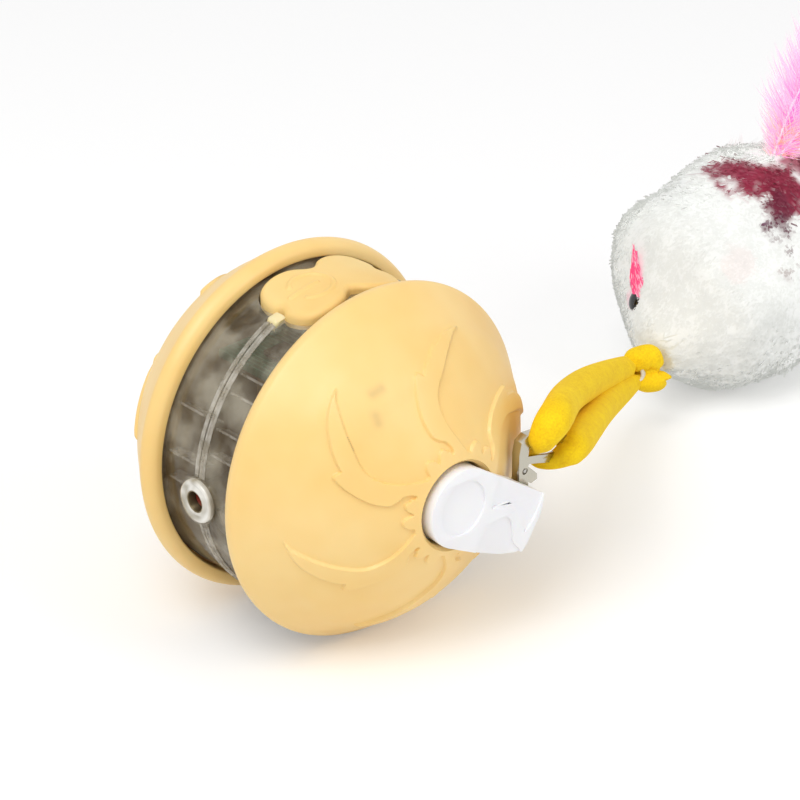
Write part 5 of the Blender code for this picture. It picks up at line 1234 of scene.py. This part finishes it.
CLUMPS = 2300
BLADES = 13
DENSE_FROM_MM = 14
DENSE = 2.6
FACE_FROM_MM = 6.0
FACE_FULL_MM = 22.0
PILE_MM = (12.0, 3.8)
TUFT_MM = (1.5, 0.8)
BLADE_MM = (0.50, 0.36)
STAND_SHARES = (0.36, 0.31)
SAG_SHARE = 0.30
STRAY_SHARE = 0.22
BEND_SHARE = 0.16
SWIRL_MM = 24
SWIRL = 1.5
SWIRL_SPREAD = 0.5
FACE_CALM = 0.85
STAND_SPREAD = 0.10
STAND_LIMITS = (0.10, 0.50)
TWIST_SPREAD = 0.35
ROOT_DEPTH_MM = 0.3
BODY_ROUND_MM = 21.0
EYE_HALF_MM = (1.25, 1.70, 2.20)
EYE_PROUD_MM = 2.9
EYE_SHIFT_MM = np.array([1.9, 0.8, -1.3])
EYE_CLEAR_MM = 3.0
EYE_AHEAD_MM = 1.2
EAR_PROUD_MM = 1.3
EAR_TILT = math.radians(20)
EAR_SHIFT_MM = np.array([2.9, 0.5, 0.0])
EAR_HALF_MM = 5.2
EAR_CLEAR_MM = 2.0
EAR_AHEAD_MM = 0.8
eye_middle = middle_mm("mouse_eye") + EYE_SHIFT_MM
ear_middle = middle_mm("mouse_ear") + EAR_SHIFT_MM


def by_place(sizes):
    """A size that goes from its first value on the body to its second on the face."""
    return sizes[0] + (sizes[1] - sizes[0]) * face


def thickness(points):
    """How thickly the fur grows: densest on the face, and none round the eye and under the ear."""
    thick = np.where(ahead_of(points) > DENSE_FROM_MM, DENSE, 1.0)
    from_eye = np.linalg.norm(points - eye_middle - HEAD_WAY * EYE_AHEAD_MM, axis=1)
    along_ear = np.clip((points - ear_middle)[:, 2:], -EAR_HALF_MM, EAR_HALF_MM) * UP
    from_ear = np.linalg.norm(points - ear_middle - along_ear - HEAD_WAY * EAR_AHEAD_MM, axis=1)
    return thick * (from_eye > EYE_CLEAR_MM) * (from_ear > EAR_CLEAR_MM)


spot, out, chance = grow(mouse_skin, CLUMPS, 21, thickness)
face = np.clip((ahead_of(spot) - FACE_FROM_MM) / (FACE_FULL_MM - FACE_FROM_MM), 0, 1)
comb = unit(square_to(-HEAD_WAY - UP * SAG_SHARE * (1 - face)[:, None], out))
swirl = SWIRL * ripple(spot * MM, SWIRL_MM, 5) + SWIRL_SPREAD * chance.normal(size=CLUMPS)
swirl = swirl * (1 - FACE_CALM * face)
comb = comb * np.cos(swirl)[:, None] + np.cross(out, comb) * np.sin(swirl)[:, None]
length = by_place(PILE_MM) * chance.uniform(0.7, 1.25, CLUMPS)
stand = by_place(STAND_SHARES) + STAND_SPREAD * chance.normal(size=CLUMPS) * (1 - face)
stand = np.clip(stand, *STAND_LIMITS)[:, None]
clump_tip = spot + (comb * np.sqrt(1 - stand ** 2) + out * stand) * length[:, None]
offset = chance.normal(size=(CLUMPS, BLADES, 3)) * by_place(TUFT_MM)[:, None, None]
offset = square_to(offset, out[:, None])
drop = np.sum(offset ** 2, axis=2, keepdims=True) / (2 * BODY_ROUND_MM)
roots = spot[:, None] + offset - out[:, None] * (ROOT_DEPTH_MM + drop)
tips = clump_tip[:, None] + offset * chance.uniform(0.12, 0.62, (CLUMPS, BLADES, 1)) - out[:, None] * drop
tips = roots + (tips - roots) * chance.uniform(0.7, 1.12, (CLUMPS, BLADES, 1))
bend = out[:, None] * (BEND_SHARE * length)[:, None, None] * chance.uniform(0.6, 1.4, (CLUMPS, BLADES, 1))
stray = np.repeat(chance.uniform(size=CLUMPS) < STRAY_SHARE, BLADES)
roots, tips, bend = (values.reshape(-1, 3) for values in (roots, tips, bend))
wide = np.repeat(by_place(BLADE_MM), BLADES) * chance.uniform(0.7, 1.2, len(roots))
tint_tip = fur_colour(blend(roots, tips, 0.4), FUR_WHITE)
tint_tip[stray] = FUR_WHITE
fur = blades("mouse_fur", roots, tips, bend, np.repeat(out, BLADES, axis=0), wide,
             fur_colour(roots, FUR_ROOT_PAINTED_SHADE), tint_tip, chance.normal(size=len(roots)) * TWIST_SPREAD)
finish(fur, white_plush, "mouse", [])
fur.visible_shadow = False
print("fur blades:", len(roots))

# %% [markdown]
# The eye is a glossy black bead, a little taller than wide. The ear is a long thin petal of pink
# felt that lies against the head, with loose pink fibres and some of the white pile across it.
# %% Eye and ear
def head_outward(place):
    """The way out of the head at a place on its tapering side."""
    ahead_mm = ahead_of(place)
    out_way = unit(place - (MOUSE_MM + HEAD_WAY * ahead_mm))
    fall = -np.interp(ahead_mm, body_profile[:, 0], np.gradient(body_profile[:, 1], body_profile[:, 0]))
    return unit(out_way + HEAD_WAY * fall)


eye_black, _, _ = drifting("black_glass_bead", "0B0B0D", "09090B", "151518", drift=(1.0, 3.0),
                           Roughness=0.07, IOR=1.5, Coat_Weight=0.5)
eye_out = head_outward(eye_middle)
eye_up = unit(square_to(UP, eye_out))
eye_side = np.cross(eye_up, eye_out)
bead_turn = np.linspace(0.02, math.pi - 0.02, 25)[:, None, None]
bead_round = turns(48)[None, :, None]
bead_out, bead_side, bead_up = (way * half for way, half in zip((eye_out, eye_side, eye_up), EYE_HALF_MM))
bead = (eye_middle + eye_out * EYE_PROUD_MM + np.cos(bead_turn) * bead_out
        + np.sin(bead_turn) * (np.cos(bead_round) * bead_side + np.sin(bead_round) * bead_up))
eye_piece = skin("mouse_eye_bead", bead[:, ::-1])
finish(eye_piece, eye_black, "mouse", ["mouse_eye"])

pink_felt = pile_material("pink_wool_felt", roughness=0.9, sheen=0.3, size_mm=1.2, spread=0.2, bump=0.08)
pink_wool = pile_material("pink_wool_fibre", roughness=0.9, sheen=0.3, size_mm=1.2, spread=0.2)
EAR_TURN = np.array([0.45, -0.25, 0.05])
EAR_LINE = ((0.0, -1.0), (0.42, -0.78), (0.86, -0.25), (0.62, 0.22), (0.20, 0.78), (0.0, 1.0))
ear_out = unit(head_outward(ear_middle) + EAR_TURN)
ear_middle = ear_middle + ear_out * EAR_PROUD_MM
ear_up = unit(square_to(UP, ear_out))
ear_side = np.cross(ear_up, ear_out)
ear_up, ear_side = (ear_up * math.cos(EAR_TILT) - ear_side * math.sin(EAR_TILT),
                    ear_side * math.cos(EAR_TILT) + ear_up * math.sin(EAR_TILT))
ear_edge = smooth_path(EAR_LINE, 6)
EAR_WIDE_MM = 1.9
EAR_CUP_MM = 0.5
EAR_CURL_MM = 0.27
EAR_SECTION = ((-1, 0.0), (-0.5, 0.28), (0, 0.36), (0.5, 0.28), (1, 0.0), (0.5, -0.28), (0, -0.36),
               (-0.5, -0.28))
side_share, lift = np.array(EAR_SECTION).T
ear_width = side_share * np.maximum(ear_edge[:, :1], 0.03) * EAR_WIDE_MM
ear_height = ear_edge[:, 1:] * EAR_HALF_MM
ear_lift = lift + EAR_CURL_MM * side_share ** 2 + EAR_CUP_MM * (1 - ear_edge[:, 1:] ** 2)
ear_rings = (ear_middle + ear_width[..., None] * ear_side + ear_height[..., None] * ear_up
             + ear_lift[..., None] * ear_out)
ear = skin("mouse_ear_petal", ear_rings)
PINK = rgb("FF5590")
PALE_PINK = rgb("FFC4D6")
streak = 0.5 + 0.5 * ripple(ear_rings.reshape(-1, 3) * MM, 2.0, 8)
paint(ear, blend(PINK, PALE_PINK, 0.25 * streak[:, None]))
finish(ear, pink_felt, "mouse", ["mouse_ear"])
HAIRS = 420
HAIR_MM = 0.22
HAIR_SINK_SHARE = 0.35
HAIR_ROOT_MM = 0.75
PALE_SHARE = 0.22
PALE_MORE = 0.30
chance = np.random.RandomState(77)
up_share = chance.uniform(-0.95, 0.9, HAIRS)
side_share = chance.uniform(-1, 1, HAIRS)
side_mm = side_share * np.interp(up_share, ear_edge[:, 1], ear_edge[:, 0]) * EAR_WIDE_MM
ear_roots = (ear_middle + ear_side * side_mm[:, None] + ear_up * (up_share * EAR_HALF_MM)[:, None]
             + ear_out * HAIR_ROOT_MM)
ear_tips = (ear_roots + ear_up * chance.uniform(1.0, 2.2, HAIRS)[:, None]
            + ear_side * (-HAIR_SINK_SHARE * side_share)[:, None]
            + ear_out * chance.uniform(0.05, 0.5, HAIRS)[:, None])
pale = (chance.uniform(size=HAIRS) < PALE_SHARE + PALE_MORE * (side_share > 0.1))[:, None]
hair_colour = np.where(pale, PALE_PINK, PINK)
ear_fibres = blades("mouse_ear_fibres", ear_roots, ear_tips, np.zeros((HAIRS, 3)),
                    np.repeat(ear_out[None], HAIRS, 0), np.full(HAIRS, HAIR_MM), hair_colour, hair_colour,
                    chance.normal(size=HAIRS) * 0.3)
finish(ear_fibres, pink_wool, "mouse", [])
print("eye and ear made, ear fibres:", HAIRS)

# %% [markdown]
# The plume is marabou: a thin soft quill with long barbs that never lie flat. It stands at the
# back of the body and leans away from the ball. Each barb is a fine curved ribbon, bright pink
# at the quill and almost white at its end. Barbs that turn towards the lit side are painted paler
# at the root, as painted light. A few orange ones grow at its foot.
# %% Feather plume
marabou = pile_material("dyed_marabou_barb", roughness=0.85, sheen=0.4, size_mm=3.0)
QUILLS_MM = (((-10.6, 128.0, 10.5), (-10.4, 134.0, 22.0), (-9.4, 142.0, 33.0), (-8.0, 150.0, 43.0)),
             ((-10.0, 129.0, 10.5), (-7.0, 136.0, 20.0), (-5.0, 143.0, 30.0), (-6.0, 151.0, 38.0)),
             ((-11.4, 130.0, 10.0), (-12.8, 138.0, 19.0), (-12.6, 146.0, 29.0), (-11.0, 153.0, 38.0)))
QUILL_THICK_MM = (0.35, 0.10)
BARBS = 1500
BARB_MM = (3.6, 7.0)
BARB_THICK_MM = 0.16
BARB_OUT = 0.80
BARB_ALONG = 0.60
BARB_DROOP = -0.10
BARB_STRAY_MM = 0.7
BARB_BEND_MM = 0.5
ORANGE_BELOW = 0.18
ORANGE_SHARE = 0.35
LIT_SIDE = np.array([-0.67, -0.74, 0.0])
HOT_PINK = rgb("FB6CCB")
WHITE_PINK = rgb("F3E6F0")
ORANGE = rgb("F2A46C")
chance = np.random.RandomState(5)


def quill_barbs(quill):
    """One quill's barbs: roots, tips, bends, ways out, and the colours of roots and tips."""
    line = smooth_path(quill, 30)
    place = chance.uniform(0, len(line) - 2, BARBS)
    low = place.astype(int)
    step = line[low + 1] - line[low]
    root = line[low] + step * (place - low)[:, None]
    way = unit(step)
    turn = chance.uniform(0, 2 * math.pi, BARBS)
    spin = unit(square_to(np.column_stack([np.cos(turn), np.sin(turn), np.zeros(BARBS)]), way))
    share = place / len(line)
    long = BARB_MM[0] + BARB_MM[1] * np.sin(math.pi * np.clip(share * 1.25, 0, 1)) ** 0.8
    long = (long * chance.uniform(0.6, 1.15, BARBS))[:, None]
    tip = root + (spin * BARB_OUT + way * BARB_ALONG) * long
    tip = tip + chance.normal(size=(BARBS, 3)) * BARB_STRAY_MM
    bend = way * BARB_DROOP * long + chance.normal(size=(BARBS, 3)) * BARB_BEND_MM
    orange = (share < ORANGE_BELOW) & (chance.uniform(size=BARBS) < ORANGE_SHARE)
    colour = np.where(orange[:, None], ORANGE, HOT_PINK)
    fade = chance.uniform(0.75, 1.0, BARBS)[:, None]
    # Barbs that face the lit side get a paler root: painted light.
    pale = (0.75 * chance.uniform(size=BARBS) * (spin @ LIT_SIDE > -0.2))[:, None]
    return (root, tip, bend, np.cross(way, spin),
            blend(colour, WHITE_PINK, pale), blend(colour, WHITE_PINK, fade))


barbs = [np.concatenate(values) for values in zip(*map(quill_barbs, QUILLS_MM))]
total = len(barbs[0])
plume = blades("marabou_plume", *barbs[:4], np.full(total, BARB_THICK_MM), *barbs[4:], np.zeros(total))
finish(plume, marabou, "mouse", ["tail_feathers"])
plume.visible_shadow = False
for number, quill in enumerate(QUILLS_MM):
    line = smooth_path(quill, 12)
    thin = np.linspace(*QUILL_THICK_MM, len(line))[:, None]
    quill_piece = tube("marabou_quill_%d" % number, line, thin, columns=8)
    paint(quill_piece, np.repeat(WHITE_PINK[None], len(quill_piece.data.vertices), 0))
    finish(quill_piece, marabou, "mouse", [])
print("barbs:", total)

# %% [markdown]
# The last cell compares the dressed model's box with the CAD model's.
# %% Box against the frame
seen_low, seen_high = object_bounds()
past = (*(cad_low - seen_low), *(seen_high - cad_high))
print("visual box past the CAD box, mm:", [round(v / MM, 1) for v in past])
